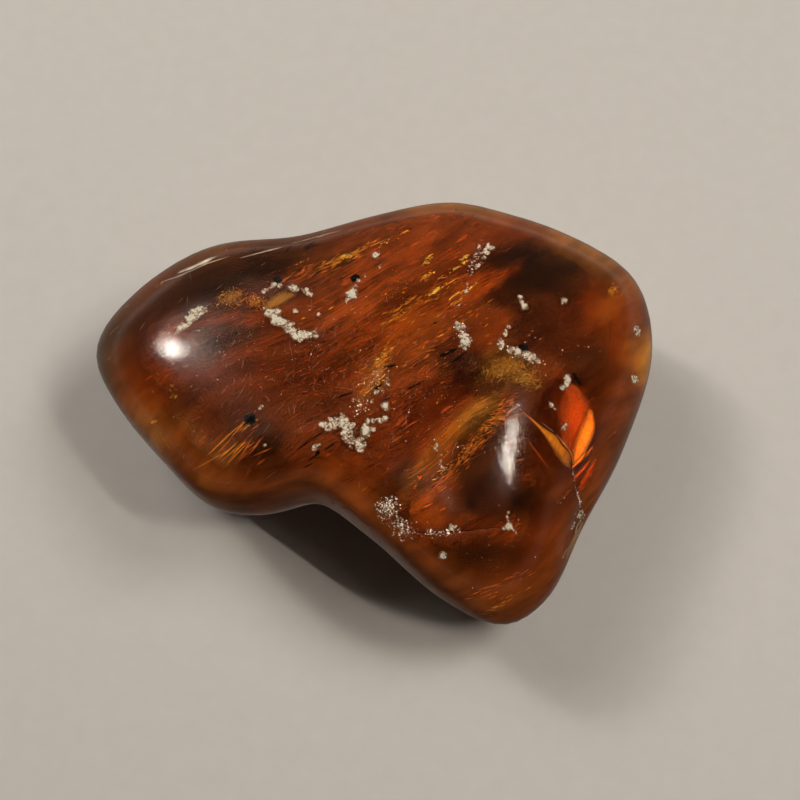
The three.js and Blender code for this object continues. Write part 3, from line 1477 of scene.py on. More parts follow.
def shards(
    points: Array,
    along: Array,
    facing: Array,
    half_sizes: Array,
    rng: Rng,
    corners: int = 9,
    ragged: float = 0.3,
) -> tuple[Array, Array]:
    """Closed thin shards with ragged outlines, thickest in the middle.

    Args:
        points: Their middles.
        along: Directions of their length.
        facing: Directions that their flat sides face.
        half_sizes: Half of length, width and thickness, one row each.
        rng: Source of their outlines.
        corners: Corners of each outline.
        ragged: How uneven the outlines are.

    Returns:
        Vertices and faces, with corners + 2 vertices for each shard.
    """
    count = len(points)
    facing = unit(facing - along * (facing * along).sum(axis=1, keepdims=True))
    side = np.cross(facing, along)
    turn = np.linspace(0, 2 * math.pi, corners, endpoint=False) + rng.uniform(0, 1, (count, 1))
    reach = 1 + rng.uniform(-ragged, ragged, (count, corners))
    u = (np.cos(turn) * reach * half_sizes[:, :1])[:, :, None]
    v = (np.sin(turn) * reach * half_sizes[:, 1:2])[:, :, None]
    rim = points[:, None] + u * along[:, None] + v * side[:, None]
    lift = facing * half_sizes[:, 2:3]
    vertices = np.concatenate([rim, (points + lift)[:, None], (points - lift)[:, None]], axis=1)
    here = np.arange(corners)
    there = (here + 1) % corners
    over = np.column_stack([here, there, np.full(corners, corners)])
    under = np.column_stack([there, here, np.full(corners, corners + 1)])
    pattern = np.concatenate([over, under])
    return vertices.reshape(-1, 3), repeated(pattern, corners + 2, count)


def lumps(points: Array, facing: Array, half_sizes: Array, rng: Rng, fine: int = 1) -> tuple[Array, Array]:
    """Closed uneven lumps, flattened along the way that they face.

    Args:
        points: Their middles.
        facing: Directions that they are flattened along.
        half_sizes: Half of width and of thickness, one row each.
        rng: Source of their unevenness.
        fine: Subdivisions of each lump.

    Returns:
        Vertices and faces.
    """
    unit_points, unit_faces, _ = even_ball(fine)
    count, each = len(points), len(unit_points)
    first = unit(np.cross(facing, unit(rng.normal(size=(count, 3)))))
    second = np.cross(facing, first)
    swell = 1 + rng.uniform(-0.28, 0.28, (count, each, 1))
    shape = unit_points[None] * swell
    vertices = (
        points[:, None]
        + first[:, None] * shape[:, :, :1] * half_sizes[:, None, :1]
        + second[:, None] * shape[:, :, 1:2] * half_sizes[:, None, :1]
        + facing[:, None] * shape[:, :, 2:] * half_sizes[:, None, 1:]
    )
    return vertices.reshape(-1, 3), repeated(unit_faces, each, count)


@dataclass
class FlowLeaves:
    """Flat leaves of resin, a little darker or paler than what lies around them.

    Attributes:
        name: The piece's name.
        count: How many are tried.
        depths: Nearest and furthest below the skin, in mm.
        lengths: Shortest and longest, in mm.
        slimness: Length over width.
        tone: Their tone away from the zones.
        seed: Picks their places and shapes.
        spread: How far their brightness strays.
    """

    pebble: Pebble
    flow: Flow
    name: str
    count: int
    depths: Pair
    lengths: Pair
    slimness: float
    tone: Tone
    seed: int
    spread: float = 0.22

    def build(self, material: Material) -> Piece:
        """Makes the leaves as one piece.

        Args:
            material: Their finish.

        Returns:
            The piece.
        """
        rng = np.random.default_rng(self.seed)
        points = self.pebble.scatter(rng, self.count, self.depths)
        colour, calm = self.flow.tint(points, self.tone)
        dense = Cloud(self.seed + 5, 4.0, 2).at(self.flow.streams(points) * np.array([0.4, 1.0, 1.0]))
        keep = (rng.random(len(points)) > 0.85 * calm) & (dense > -0.25)
        length = scaled_draws(self.lengths, rng, len(points))
        keep &= self.pebble.covers(points, 0.3)
        points, colour, length = points[keep], colour[keep], length[keep]
        along = unit(self.flow.direction(points) + rng.normal(0, 0.10, (len(points), 3)))
        facing = unit(np.array([0.0, 0.0, 1.0]) + rng.normal(0, 0.35, (len(points), 3)))
        width = length / self.slimness * np.exp(rng.normal(0, 0.3, len(points)))
        half_sizes = np.column_stack([length / 2, width / 2, np.full(len(points), 0.03)])
        vertices, faces = shards(points, along, facing, half_sizes, rng)
        colour = colour * np.exp(rng.normal(0, self.spread, len(points)))[:, None]
        marks = {"tint": np.repeat(colour, len(vertices) // len(points), axis=0)}
        return make_piece(self.name, vertices, faces, material, Slot.STREAK, marks, smooth=False)


@dataclass(frozen=True)
class Cluster:
    """A drawn-out swarm of small things.

    Attributes:
        at: Its middle.
        size: Half its length and half its width, in mm.
        turn: Direction of its length, in degrees.
        count: How many things it holds.
        grain: Half the length of an average one, in mm.
        depth: How far it lies below the skin, in mm.
        tone: Its tone.
        stray: How far its fibres stray from the flow, 0 for not at all.
    """

    at: Place
    size: Pair
    turn: float
    count: int
    grain: float
    depth: float = 0.8
    tone: Tone = Tone.GOLD
    stray: float = 1.0


@dataclass
class GoldFlakes:
    """Crumpled flakes that glint gold in drawn-out swarms.

    Attributes:
        clusters: The swarms.
        seed: Picks their places and shapes.
        spread: How far their brightness strays.
    """

    pebble: Pebble
    flow: Flow
    clusters: tuple[Cluster, ...]
    seed: int = 61
    spread: float = 0.3

    def build(self, material: Material) -> Piece:
        """Makes the flakes as one piece.

        Args:
            material: Their finish.

        Returns:
            The piece.
        """
        rng = np.random.default_rng(self.seed)
        heap = Heap()
        for cluster in self.clusters:
            points, _ = self.pebble.swarm(cluster, rng)
            count = len(points)
            along = unit(self.flow.direction(points) + rng.normal(0, 0.25, (count, 3)))
            facing = unit(np.array([0.0, -0.1, 1.0]) + rng.normal(0, 0.30, (count, 3)))
            half = cluster.grain * np.exp(rng.normal(0, 0.5, count))
            half_sizes = np.column_stack([half, half * rng.uniform(0.12, 0.45, count), 0.1 * half])
            vertices, faces = shards(points, along, facing, half_sizes, rng, 7, 0.45)
            shade = cluster.tone.uneven(self.spread, rng, count)
            heap.add(vertices, faces, tint=np.repeat(shade, len(vertices) // count, axis=0))
        return heap.make("gold_flakes", material, Slot.STREAK, smooth=False)


@dataclass
class Crumbs:
    """Crumbly patches of grains sealed in the resin.

    Attributes:
        name: The piece's name.
        clusters: The patches.
        slot: The material slot, passed on with the piece.
        seed: Picks their places and shapes.
        flat: Thickness over width of a grain.
        spread: How far their brightness strays.
    """

    pebble: Pebble
    name: str
    clusters: tuple[Cluster, ...]
    slot: Slot
    seed: int
    flat: float = 0.6
    spread: float = 0.45

    def build(self, material: Material) -> Piece:
        """Makes the grains as one piece.

        Args:
            material: Their finish.

        Returns:
            The piece.
        """
        rng = np.random.default_rng(self.seed)
        heap = Heap()
        for cluster in self.clusters:
            points, facing = self.pebble.swarm(cluster, rng)
            half = cluster.grain * np.exp(rng.normal(0, 0.4, len(points)))
            half_sizes = np.column_stack([half, half * self.flat])
            vertices, faces = lumps(points, facing, half_sizes, rng)
            shade = cluster.tone.uneven(self.spread, rng, len(points))
            heap.add(vertices, faces, tint=np.repeat(shade, len(vertices) // len(points), axis=0))
        return heap.make(self.name, material, self.slot, smooth=False)


@dataclass
class FibreMats:
    """Felted mats of short fibres sealed in the resin.

    Attributes:
        name: The piece's name.
        clusters: The mats.
        seed: Picks their fibres' places and shapes.
        slimness: Length over width of a fibre.
        thickest: Greatest width of a fibre, in mm.
        spread: How far the brightness of the fibres strays.
    """

    pebble: Pebble
    flow: Flow
    name: str
    clusters: tuple[Cluster, ...]
    seed: int
    slimness: float = 11.0
    thickest: float = 0.11
    spread: float = 0.4

    def build(self, material: Material) -> Piece:
        """Makes the fibres as one piece.

        Args:
            material: Their finish.

        Returns:
            The piece.
        """
        rng = np.random.default_rng(self.seed)
        heap = Heap()
        for cluster in self.clusters:
            points, _ = self.pebble.swarm(cluster, rng)
            count = len(points)
            level = rng.normal(0, cluster.stray, (count, 3)) * np.array([1.0, 1.0, 0.25])
            along = unit(self.flow.direction(points) * 0.8 + level)
            length = cluster.grain * np.exp(rng.normal(0, 0.4, count))
            width = np.minimum(length / self.slimness, self.thickest)
            good = self.pebble.covers(points, 0.25)
            points, along, length, width = points[good], along[good], length[good], width[good]
            vertices, faces = spindles(points, along, length, width / 2, rng)
            shade = cluster.tone.uneven(self.spread, rng, len(points))
            heap.add(vertices, faces, tint=np.repeat(shade, 6, axis=0))
        return heap.make(self.name, material, Slot.STREAK, smooth=False)


@dataclass(frozen=True)
class Stroke:
    """A drawn-out dab of chalky crust in a pit of the skin.

    Attributes:
        path: The places it runs through.
        width: Half its width, in mm.
        fill: Grains for each square millimetre.
        grain: Radius of an average grain, in mm.
    """

    path: tuple[Place, ...]
    width: float
    fill: float = 22.0
    grain: float = 0.13


@dataclass
class CrustPatch:
    """Chalky crust that fills pits of the polished skin.

    Attributes:
        name: The piece's name.
        strokes: The dabs that it is made of.
        seed: Picks the grains' places and shapes.
        cell: Size of the cells that the grains are fused at, in mm.
        flat: Half the thickness of a grain, as a share of its radius.
        sunk: How far a grain lies in the resin, as a share of its radius.
        rough: Height of the crust's fine unevenness, in mm.
    """

    pebble: Pebble
    name: str
    strokes: tuple[Stroke, ...]
    seed: int
    cell: float = 0.045
    flat: float = 0.38
    sunk: float = 0.22
    rough: float = 0.06

    def build(self, material: Material) -> Piece:
        """Fuses the grains of every stroke into one crusty piece.

        Args:
            material: Its finish.

        Returns:
            The piece.
        """
        rng = np.random.default_rng(self.seed)
        heap = Heap()
        for stroke in self.strokes:
            points, normals = self._grains(stroke, rng)
            radius = stroke.grain * np.exp(rng.normal(0, 0.5, len(points)))
            half_sizes = np.column_stack([radius * 1.1, radius * self.flat])
            points = points - normals * (radius * self.sunk + 0.02)[:, None]
            heap.add(*lumps(points, normals, half_sizes, rng, 2))
        fused, fused_faces = fuse(*heap.arrays(), self.cell)
        rough = self.rough * Cloud(self.seed + 2, 0.14, 3).at(fused)
        fused = fused + vertex_normals(fused, fused_faces) * rough[:, None]
        marks = {"height": self.pebble.height_over_skin(fused)}
        return make_piece(self.name, fused, fused_faces, material, Slot.CRUST, marks)

    def _grains(self, stroke: Stroke, rng: Rng) -> tuple[Array, Array]:
        """Places one stroke's grains.

        Args:
            stroke: The stroke.
            rng: Source of the places.

        Returns:
            Their places on the skin in mm, and the skin's normals there.
        """
        route = self.pebble.plan(np.array(stroke.path))
        if len(route) == 1:
            route = np.concatenate([route, route + 0.02])
        steps = np.linalg.norm(np.diff(route, axis=0), axis=1)
        area = steps.sum() * stroke.width * 2 + math.pi * stroke.width**2
        count = max(3, round(area * stroke.fill))
        spot = np.sort(rng.random(count)) * steps.sum()
        ends = np.concatenate([[0], np.cumsum(steps)])
        x, y = np.interp(spot, ends, route[:, 0]), np.interp(spot, ends, route[:, 1])
        bulk = 0.85 + 0.8 * Cloud(self.seed + 9, 0.6, 2).at(np.column_stack([x, y]))
        angle = rng.uniform(0, 2 * math.pi, count)
        away = stroke.width * bulk * rng.random(count) ** 0.6
        x, y = x + away * np.cos(angle), y + away * np.sin(angle)
        pitted = Cloud(self.seed + 3, 0.45, 2).at(np.column_stack([x, y])) < -0.28
        if count > 12:
            x, y = x[~pitted], y[~pitted]
        return self.pebble.settle(x, y)


def fuse(vertices: Array, faces: Array, cell: float) -> tuple[Array, Array]:
    """Fuses overlapping closed lumps into one skin.

    Args:
        vertices: Corner places in mm.
        faces: Triangles.
        cell: Size of the cells that the new skin is sampled at, in mm.

    Returns:
        The fused vertices in mm and triangles.
    """
    rough = bpy.data.objects.new("unfused", fill_mesh("unfused", vertices, faces))
    bpy.context.scene.collection.objects.link(rough)
    modifier = rough.modifiers.new("fuse", "REMESH")
    modifier.mode, modifier.voxel_size = "VOXEL", cell * MM
    evaluated = rough.evaluated_get(bpy.context.evaluated_depsgraph_get())
    fused = mesh_arrays(evaluated.to_mesh())
    evaluated.to_mesh_clear()
    mesh = rough.data
    bpy.data.objects.remove(rough)
    bpy.data.meshes.remove(mesh)
    return fused


@dataclass(frozen=True)
class Hole:
    """A dark round hollow just under the skin, with an uneven edge.

    Attributes:
        at: Its place.
        size: Half its length and half its width, in mm.
        turn: Direction of its length, in degrees.
        depth: How far below the skin it lies, in mm.
    """

    at: Place
    size: Pair
    turn: float = 0.0
    depth: float = 0.12


@dataclass
class DarkHollows:
    """Black specks, slits and smoky blots.

    Attributes:
        name: The piece's name.
        holes: The hollows.
        seed: Picks their uneven edges.
    """

    pebble: Pebble
    name: str
    holes: tuple[Hole, ...]
    seed: int

    def build(self, material: Material) -> Piece:
        """Makes the hollows as one piece.

        Args:
            material: Their finish.

        Returns:
            The piece.
        """
        rng = np.random.default_rng(self.seed)
        shares = np.array([hole.at for hole in self.holes])
        points, normals = self.pebble.settle(*self.pebble.plan(shares).T)
        depth = np.array([hole.depth for hole in self.holes])
        turn = np.radians([hole.turn for hole in self.holes])
        along = np.column_stack([np.cos(turn), np.sin(turn), np.zeros(len(turn))])
        along = unit(along - normals * (along * normals).sum(axis=1, keepdims=True))
        half = np.array([hole.size for hole in self.holes])
        half_sizes = np.column_stack([half, half.min(axis=1) * np.where(depth < 0, 0.05, 0.3)])
        points = points - normals * (depth + half_sizes[:, 2])[:, None]
        vertices, faces = shards(points, along, normals, half_sizes, rng, 14, 0.16)
        marks = {"tint": Tone.PITCH.over(len(vertices))}
        return make_piece(self.name, vertices, faces, material, Slot.INCLUSION, marks)


@dataclass(frozen=True)
class Petal:
    """A cupped film of resin along a healed crack, shaped like a petal.

    Attributes:
        path: The places that its middle line runs through.
        width: Half its width, in mm.
        depth: How far below the skin it lies, in mm.
        tone: Its tone in the middle.
        edge: Its tone at the edge.
        cup: How far its middle sinks, in mm.
        soft: Width of its faded edge, as a share of its half width.
        belly: How far along it is widest, as a share of its length.
        lean: How far its brightest line lies to the left of its middle, from -1 to 1.
        fall: How late its tone falls off towards its edges.
        tilt: How much deeper its left edge lies than its middle, in mm.
    """

    path: tuple[Place, ...]
    width: float
    depth: float
    tone: Tone
    edge: Tone = Tone.RUST
    cup: float = 0.3
    soft: float = 0.7
    belly: float = 0.5
    lean: float = 0.0
    fall: float = 2.0
    tilt: float = 0.0


@dataclass
class CrackPetals:
    """The bright films in the healed cracks, and thin marks on the skin, some of which are painted
    highlights.

    Attributes:
        name: The piece's name.
        petals: The films.
        seed: Picks their grain and their uneven edges.
        rows: Stations along each film.
        columns: Stations across each film.
        thickness: Thickness of a film, in mm.
        ragged: How uneven its edges are.
    """

    pebble: Pebble
    name: str
    petals: tuple[Petal, ...]
    seed: int
    rows: int = 40
    columns: int = 11
    thickness: float = 0.03
    ragged: float = 0.15

    def build(self, material: Material) -> Piece:
        """Makes the films as one piece.

        Args:
            material: Their finish.

        Returns:
            The piece.
        """
        heap = Heap()
        for petal in self.petals:
            vertices, faces, tint, cover = self._film(petal)
            heap.add(vertices, faces, tint=tint, cover=cover)
        return heap.make(self.name, material, Slot.STREAK)

    def _film(self, petal: Petal) -> tuple[Array, Array, Array, Array]:
        """Makes one film.

        Args:
            petal: The film's shape and tones.

        Returns:
            Its vertices, faces, tint and cover.
        """
        route = smooth_route(self.pebble.plan(np.array(petal.path)), self.rows)
        along = unit(np.gradient(route, axis=0))
        side = np.column_stack([-along[:, 1], along[:, 0]])
        t = np.linspace(0, 1, self.rows)[:, None]
        s = np.linspace(-1, 1, self.columns)[None, :]
        stations = np.column_stack([t[:, 0], np.zeros(self.rows)])
        ragged = 1 + self.ragged * Cloud(self.seed, 0.25, 2).at(stations)[:, None]
        bulge = np.sin(math.pi * (0.02 + 0.96 * t) ** (math.log(0.5) / math.log(petal.belly)))
        width = petal.width * bulge**0.7 * ragged
        x = route[:, :1] + side[:, :1] * width * s
        y = route[:, 1:] + side[:, 1:] * width * s
        points, normals = self.pebble.settle(x.ravel(), y.ravel())
        sink = petal.depth + petal.cup * (1 - (s * np.ones_like(t)) ** 2) * np.sin(math.pi * t)
        sink = sink + petal.tilt * s * np.sin(math.pi * t) ** 0.5
        points = points - normals * sink.reshape(-1, 1)
        right, left = (s - petal.lean) / (1 - petal.lean), (petal.lean - s) / (1 + petal.lean)
        across = np.where(s > petal.lean, right, left)
        middle = (1 - across**petal.fall) * np.sin(math.pi * t) ** 0.5
        grain = 1 + 0.2 * Cloud(self.seed + 3, 1.2, 2).at(points)
        share = middle.reshape(-1, 1)
        tint = np.array(petal.edge.value) * (1 - share) + np.array(petal.tone.value) * share
        tint = tint * grain[:, None]
        quads = sheet_quads(self.rows, self.columns)[:, [0, 3, 2, 1]]
        vertices, faces = slab(points, quads, normals * self.thickness)
        fade = ramp(across * np.ones_like(t), 1.0, 1 - petal.soft) * np.sin(math.pi * t) ** 0.4
        cover = 0.95 * fade.ravel()
        return vertices, faces, np.concatenate([tint, tint]), np.concatenate([cover, cover])


def smooth_route(route: Array, count: int) -> Array:
    """A line through plan places, rounded and evenly stepped.

    Args:
        route: The line's corners, one row each.
        count: Stations wanted.

    Returns:
        The stations, one row each.
    """
    steps = np.linalg.norm(np.diff(route, axis=0), axis=1)
    ends = np.concatenate([[0], np.cumsum(steps)]) / steps.sum()
    share = np.linspace(0, 1, count)
    line = np.column_stack([np.interp(share, ends, route[:, axis]) for axis in range(route.shape[1])])
    for _ in range(max(1, count // 12)):
        line[1:-1] = 0.25 * line[:-2] + 0.5 * line[1:-1] + 0.25 * line[2:]
    return line


def slab(points: Array, quads: Array, lift: Array) -> tuple[Array, Array]:
    """A closed slab under a sheet of quads.

    Args:
        points: The sheet's places.
        quads: The sheet's faces, facing up.
        lift: From the slab's under face to its upper face, one row for each point.

    Returns:
        The slab's vertices and triangles.
    """
    count = len(points)
    top = np.concatenate([quads[:, [0, 1, 2]], quads[:, [0, 2, 3]]])
    sides = np.concatenate([quads[:, [0, 1]], quads[:, [1, 2]], quads[:, [2, 3]], quads[:, [3, 0]]])
    keys, back = sides[:, 0] * count + sides[:, 1], sides[:, 1] * count + sides[:, 0]
    rim = sides[~np.isin(keys, back)]
    wall = np.concatenate(
        [
            np.column_stack([rim[:, 1], rim[:, 0], rim[:, 0] + count]),
            np.column_stack([rim[:, 1], rim[:, 0] + count, rim[:, 1] + count]),
        ]
    )
    return np.concatenate([points, points - lift]), np.concatenate([top, top[:, ::-1] + count, wall])


@dataclass(frozen=True)
class Seam:
    """A crack that shows as a thin jagged line on the skin.

    Attributes:
        path: The places it runs through.
        width: Half its width, in mm.
        depth: How deep its face runs under the skin, in mm.
        lean: How far its face leans to its left as it goes down, in mm for each mm.
        tone: Tone of its face.
    """

    path: tuple[Place, ...]
    width: float = 0.05
    depth: float = 1.6
    lean: float = 0.4
    tone: Tone = Tone.RUSSET


@dataclass
class SurfaceCracks:
    """Cracks from the skin down into the resin.

    Attributes:
        seams: The cracks.
        seed: Picks how they stray.
        jag: How far they stray from side to side, in mm.
        step: Distance between stations along them, in mm.
        rows: Stations from the skin down.
        thickness: Thickness of their faces, in mm.
    """

    pebble: Pebble
    seams: tuple[Seam, ...]
    seed: int = 87
    jag: float = 0.10
    step: float = 0.12
    rows: int = 9
    thickness: float = 0.03

    def build(self, lip: Material, face: Material) -> None:
        """Makes the dark lips on the skin and the glossy faces below.

        Args:
            lip: Finish of the lips.
            face: Finish of the faces.
        """
        lips, sheets = Heap(), Heap()
        for number, seam in enumerate(self.seams):
            route = self.pebble.plan(np.array(seam.path))
            length = np.linalg.norm(np.diff(route, axis=0), axis=1).sum()
            count = max(8, int(length / self.step))
            line = smooth_route(route, count)
            along = unit(np.gradient(line, axis=0))
            side = np.column_stack([-along[:, 1], along[:, 0]])
            stray = self.jag * Cloud(self.seed + number, 0.7, 3).at(line)
            line = line + side * stray[:, None]
            points, normals = self.pebble.settle(*line.T)
            side = np.column_stack([side, np.zeros(count)])
            swell = 1 + 0.5 * Cloud(self.seed + 20 + number, 0.5, 2).at(line)
            half = seam.width * (0.35 + 0.65 * np.sin(math.pi * np.linspace(0, 1, count))) * swell
            offset, over, under = side * half[:, None], normals * 0.015, normals * 0.05
            ring = np.stack([points + offset, points + over, points - offset, points - under], axis=1)
            here = np.arange(count - 1)[:, None] * 4
            walls = []
            for edge in range(4):
                a, b = here + edge, here + (edge + 1) % 4
                walls += [np.hstack([a, b, b + 4]), np.hstack([a, b + 4, a + 4])]
            pitch = Tone.PITCH.over(count * 4)
            lips.add(ring.reshape(-1, 3), np.concatenate(walls), tint=pitch)
            vertices, faces, tint, cover = self._face(seam, points, normals, side)
            sheets.add(vertices, faces, tint=tint, cover=cover)
        lips.make("crack_lips", lip, Slot.INCLUSION)
        sheets.make("crack_faces", face, Slot.STREAK)

    def _face(self, seam: Seam, points: Array, normals: Array, side: Array) -> tuple[Array, ...]:
        """Makes one crack's face under the skin.

        Args:
            seam: The crack.
            points: Stations along it on the skin, in mm.
            normals: The skin's normals there.
            side: Unit vectors to its left there.

        Returns:
            Its vertices, faces, tint and cover.
        """
        count = len(points)
        share = np.linspace(0, 1, count)
        deep = seam.depth * np.sin(math.pi * (0.04 + 0.92 * share)) ** 0.6
        deep = deep * (1 + 0.3 * Cloud(self.seed + 40, 1.2, 3).at(points))
        down = np.linspace(0.05, 1, self.rows)[None, :, None] * deep[:, None, None]
        wave = 0.25 * Cloud(self.seed + 50, 1.5, 2).at(points)[:, None, None]
        grid = points[:, None] - normals[:, None] * down + side[:, None] * (down * (seam.lean + wave))
        flat = grid.reshape(-1, 3)
        across = np.repeat(side, self.rows, axis=0)
        vertices, faces = slab(flat, sheet_quads(count, self.rows), across * self.thickness)
        tint = np.array(seam.tone.value) * (1 + 0.5 * Cloud(self.seed + 60, 0.5, 3).at(flat))[:, None]
        fade = np.tile(1 - 0.9 * np.linspace(0, 1, self.rows), count) * 0.55
        return vertices, faces, np.concatenate([tint, tint]), np.concatenate([fade, fade])


@dataclass
class HairScratches:
    """Fine pale hair scratches on the polish.

    Attributes:
        count: How many scratches are tried.
        lengths: Shortest and longest, in mm.
        width: Half the width of a scratch, in mm.
        seed: Picks their places and shapes.
        joints: Stations along each.
    """

    pebble: Pebble
    count: int = 420
    lengths: Pair = (0.15, 1.6)
    width: float = 0.0045
    seed: int = 83
    joints: int = 7

    def build(self, material: Material) -> Piece:
        """Makes the scratches as one piece of flat threads.

        Args:
            material: Their finish.

        Returns:
            The piece.
        """
        rng = np.random.default_rng(self.seed)
        low, high = self.pebble.low[:2], self.pebble.high[:2]
        middle = low + (high - low) * rng.normal((0.40, 0.53), (0.13, 0.13), (self.count, 2))
        length = scaled_draws(self.lengths, rng, self.count)
        angle = np.radians(rng.normal(55, 40, self.count))
        bend = rng.normal(0, 0.15, self.count)
        vertices, faces = [], []
        for centre, size, heading, curl in zip(middle, length, angle, bend):
            share = np.linspace(-0.5, 0.5, self.joints)
            headings = heading + curl * share
            x = centre[0] + size * share * np.cos(headings)
            y = centre[1] + size * share * np.sin(headings)
            if np.isnan(self.pebble.top(x, y)).any():
                continue
            points, normals = self.pebble.settle(x, y)
            if normals[:, 2].min() < 0.6:
                continue
            along = unit(np.gradient(points, axis=0))
            side = np.cross(normals, along)
            half = (self.width * np.sqrt(1.001 - (2 * share) ** 2))[:, None]
            ring = np.stack([points + side * half, points + normals * 0.012, points - side * half], axis=1)
            start = len(vertices) * self.joints * 3
            vertices.append(ring.reshape(-1, 3))
            for joint in range(self.joints - 1):
                for edge in range(3):
                    a, b = start + joint * 3 + edge, start + joint * 3 + (edge + 1) % 3
                    faces += [[a, b, b + 3], [a, b + 3, a + 3]]
        arrays = np.concatenate(vertices), np.array(faces)
        marks = {"tint": Tone.CHALK.over(len(arrays[0]))}
        return make_piece("hair_scratches", *arrays, material, Slot.CRUST, marks)


# ---- Where everything lies ----

DENTS = (
    Dent(((0.855, 0.245), (0.86, 0.255)), 0.9, 0.7),
    Dent(((0.84, 0.22), (0.83, 0.19), (0.815, 0.16)), 0.6, 0.35),
    Dent(((0.18, 0.635), (0.205, 0.67)), 0.6, 0.12),
    Dent(((0.325, 0.665), (0.395, 0.61)), 0.7, 0.15),
    Dent(((0.43, 0.385), (0.48, 0.385)), 0.8, 0.15),
    Dent(((0.71, 0.585), (0.765, 0.545)), 0.6, 0.15),
    Dent(((0.825, 0.34), (0.845, 0.265)), 0.35, 0.2),
    Dent(((0.56, 0.17), (0.67, 0.175)), 0.35, 0.15),
)

GOLD_CLUSTERS = (
    Cluster((0.45, 0.805), (1.8, 0.25), 28, 34, 0.11, 0.7),
    Cluster((0.48, 0.835), (1.2, 0.4), 30, 18, 0.09, 0.8, Tone.HONEY),
    Cluster((0.52, 0.845), (1.2, 0.35), 33, 18, 0.08, 0.8),
    Cluster((0.55, 0.87), (1.2, 0.4), 34, 14, 0.08, 0.8, Tone.HONEY),
    Cluster((0.59, 0.8), (0.4, 0.2), 30, 22, 0.09, 0.7),
    Cluster((0.65, 0.8), (0.6, 0.15), 40, 26, 0.1, 0.7),
    Cluster((0.585, 0.755), (0.9, 0.3), 35, 20, 0.09, 0.8),
    Cluster((0.6, 0.715), (1.2, 0.2), 33, 28, 0.09, 0.8),
    Cluster((0.635, 0.705), (1.5, 0.15), 28, 30, 0.09, 0.7),
    Cluster((0.53, 0.72), (4.0, 1.6), 36, 60, 0.06, 0.9, Tone.HONEY),
    Cluster((0.51, 0.5), (1.6, 0.8), 60, 40, 0.08, 0.8),
    Cluster((0.53, 0.455), (0.9, 0.4), 50, 20, 0.08, 0.8, Tone.FLAME),
    Cluster((0.61, 0.46), (0.8, 0.3), 20, 12, 0.09, 0.7),
    Cluster((0.535, 0.365), (1.2, 0.25), 40, 26, 0.08, 0.7, Tone.HONEY),
    Cluster((0.695, 0.4), (2.0, 0.8), 48, 60, 0.05, 0.9),
    Cluster((0.66, 0.36), (2.6, 0.6), 50, 70, 0.06, 0.9, Tone.HONEY),
    Cluster((0.615, 0.3), (1.6, 0.4), 42, 40, 0.07, 0.9),
    Cluster((0.605, 0.36), (3.4, 0.7), 50, 120, 0.045, 0.9, Tone.HONEY),
    Cluster((0.57, 0.27), (1.8, 0.6), 55, 16, 0.07, 0.9, Tone.FLAME),
    Cluster((0.245, 0.7), (1.2, 0.8), 20, 40, 0.07, 0.8),
    Cluster((0.16, 0.485), (1.6, 0.5), 10, 14, 0.06, 0.8),
    Cluster((0.7, 0.045), (2.6, 0.6), 27, 20, 0.06, 0.7, Tone.HONEY),
    Cluster((0.125, 0.765), (0.8, 0.3), 30, 14, 0.08, 0.4),
    Cluster((0.585, 0.785), (0.45, 0.2), 30, 30, 0.075, 0.4),
    Cluster((0.65, 0.785), (0.45, 0.2), 35, 32, 0.075, 0.4),
    Cluster((0.635, 0.77), (0.7, 0.15), 38, 26, 0.07, 0.4),
    Cluster((0.585, 0.75), (0.8, 0.2), 36, 28, 0.07, 0.4),
    Cluster((0.6, 0.71), (0.7, 0.15), 30, 26, 0.07, 0.4),
    Cluster((0.635, 0.685), (0.6, 0.15), 20, 32, 0.07, 0.3),
    Cluster((0.665, 0.725), (0.8, 0.15), 40, 18, 0.09, 0.4),
    Cluster((0.555, 0.69), (1.0, 0.2), 34, 18, 0.09, 0.5, Tone.HONEY),
    Cluster((0.535, 0.65), (1.0, 0.25), 36, 18, 0.08, 0.5, Tone.HONEY),
    Cluster((0.37, 0.79), (1.2, 0.2), 30, 18, 0.08, 0.5, Tone.HONEY),
    Cluster((0.51, 0.555), (1.4, 0.35), 62, 40, 0.08, 0.5),
    Cluster((0.135, 0.415), (0.14, 0.1), 0, 8, 0.12, 0.25, Tone.HONEY),
    Cluster((0.17, 0.465), (0.5, 0.25), 10, 12, 0.07, 0.2),
    Cluster((0.915, 0.75), (0.5, 0.8), -20, 26, 0.1, 0.5, Tone.HONEY),
    Cluster((0.76, 0.5), (1.4, 1.0), 30, 16, 0.06, 0.8, Tone.FLAME),
)

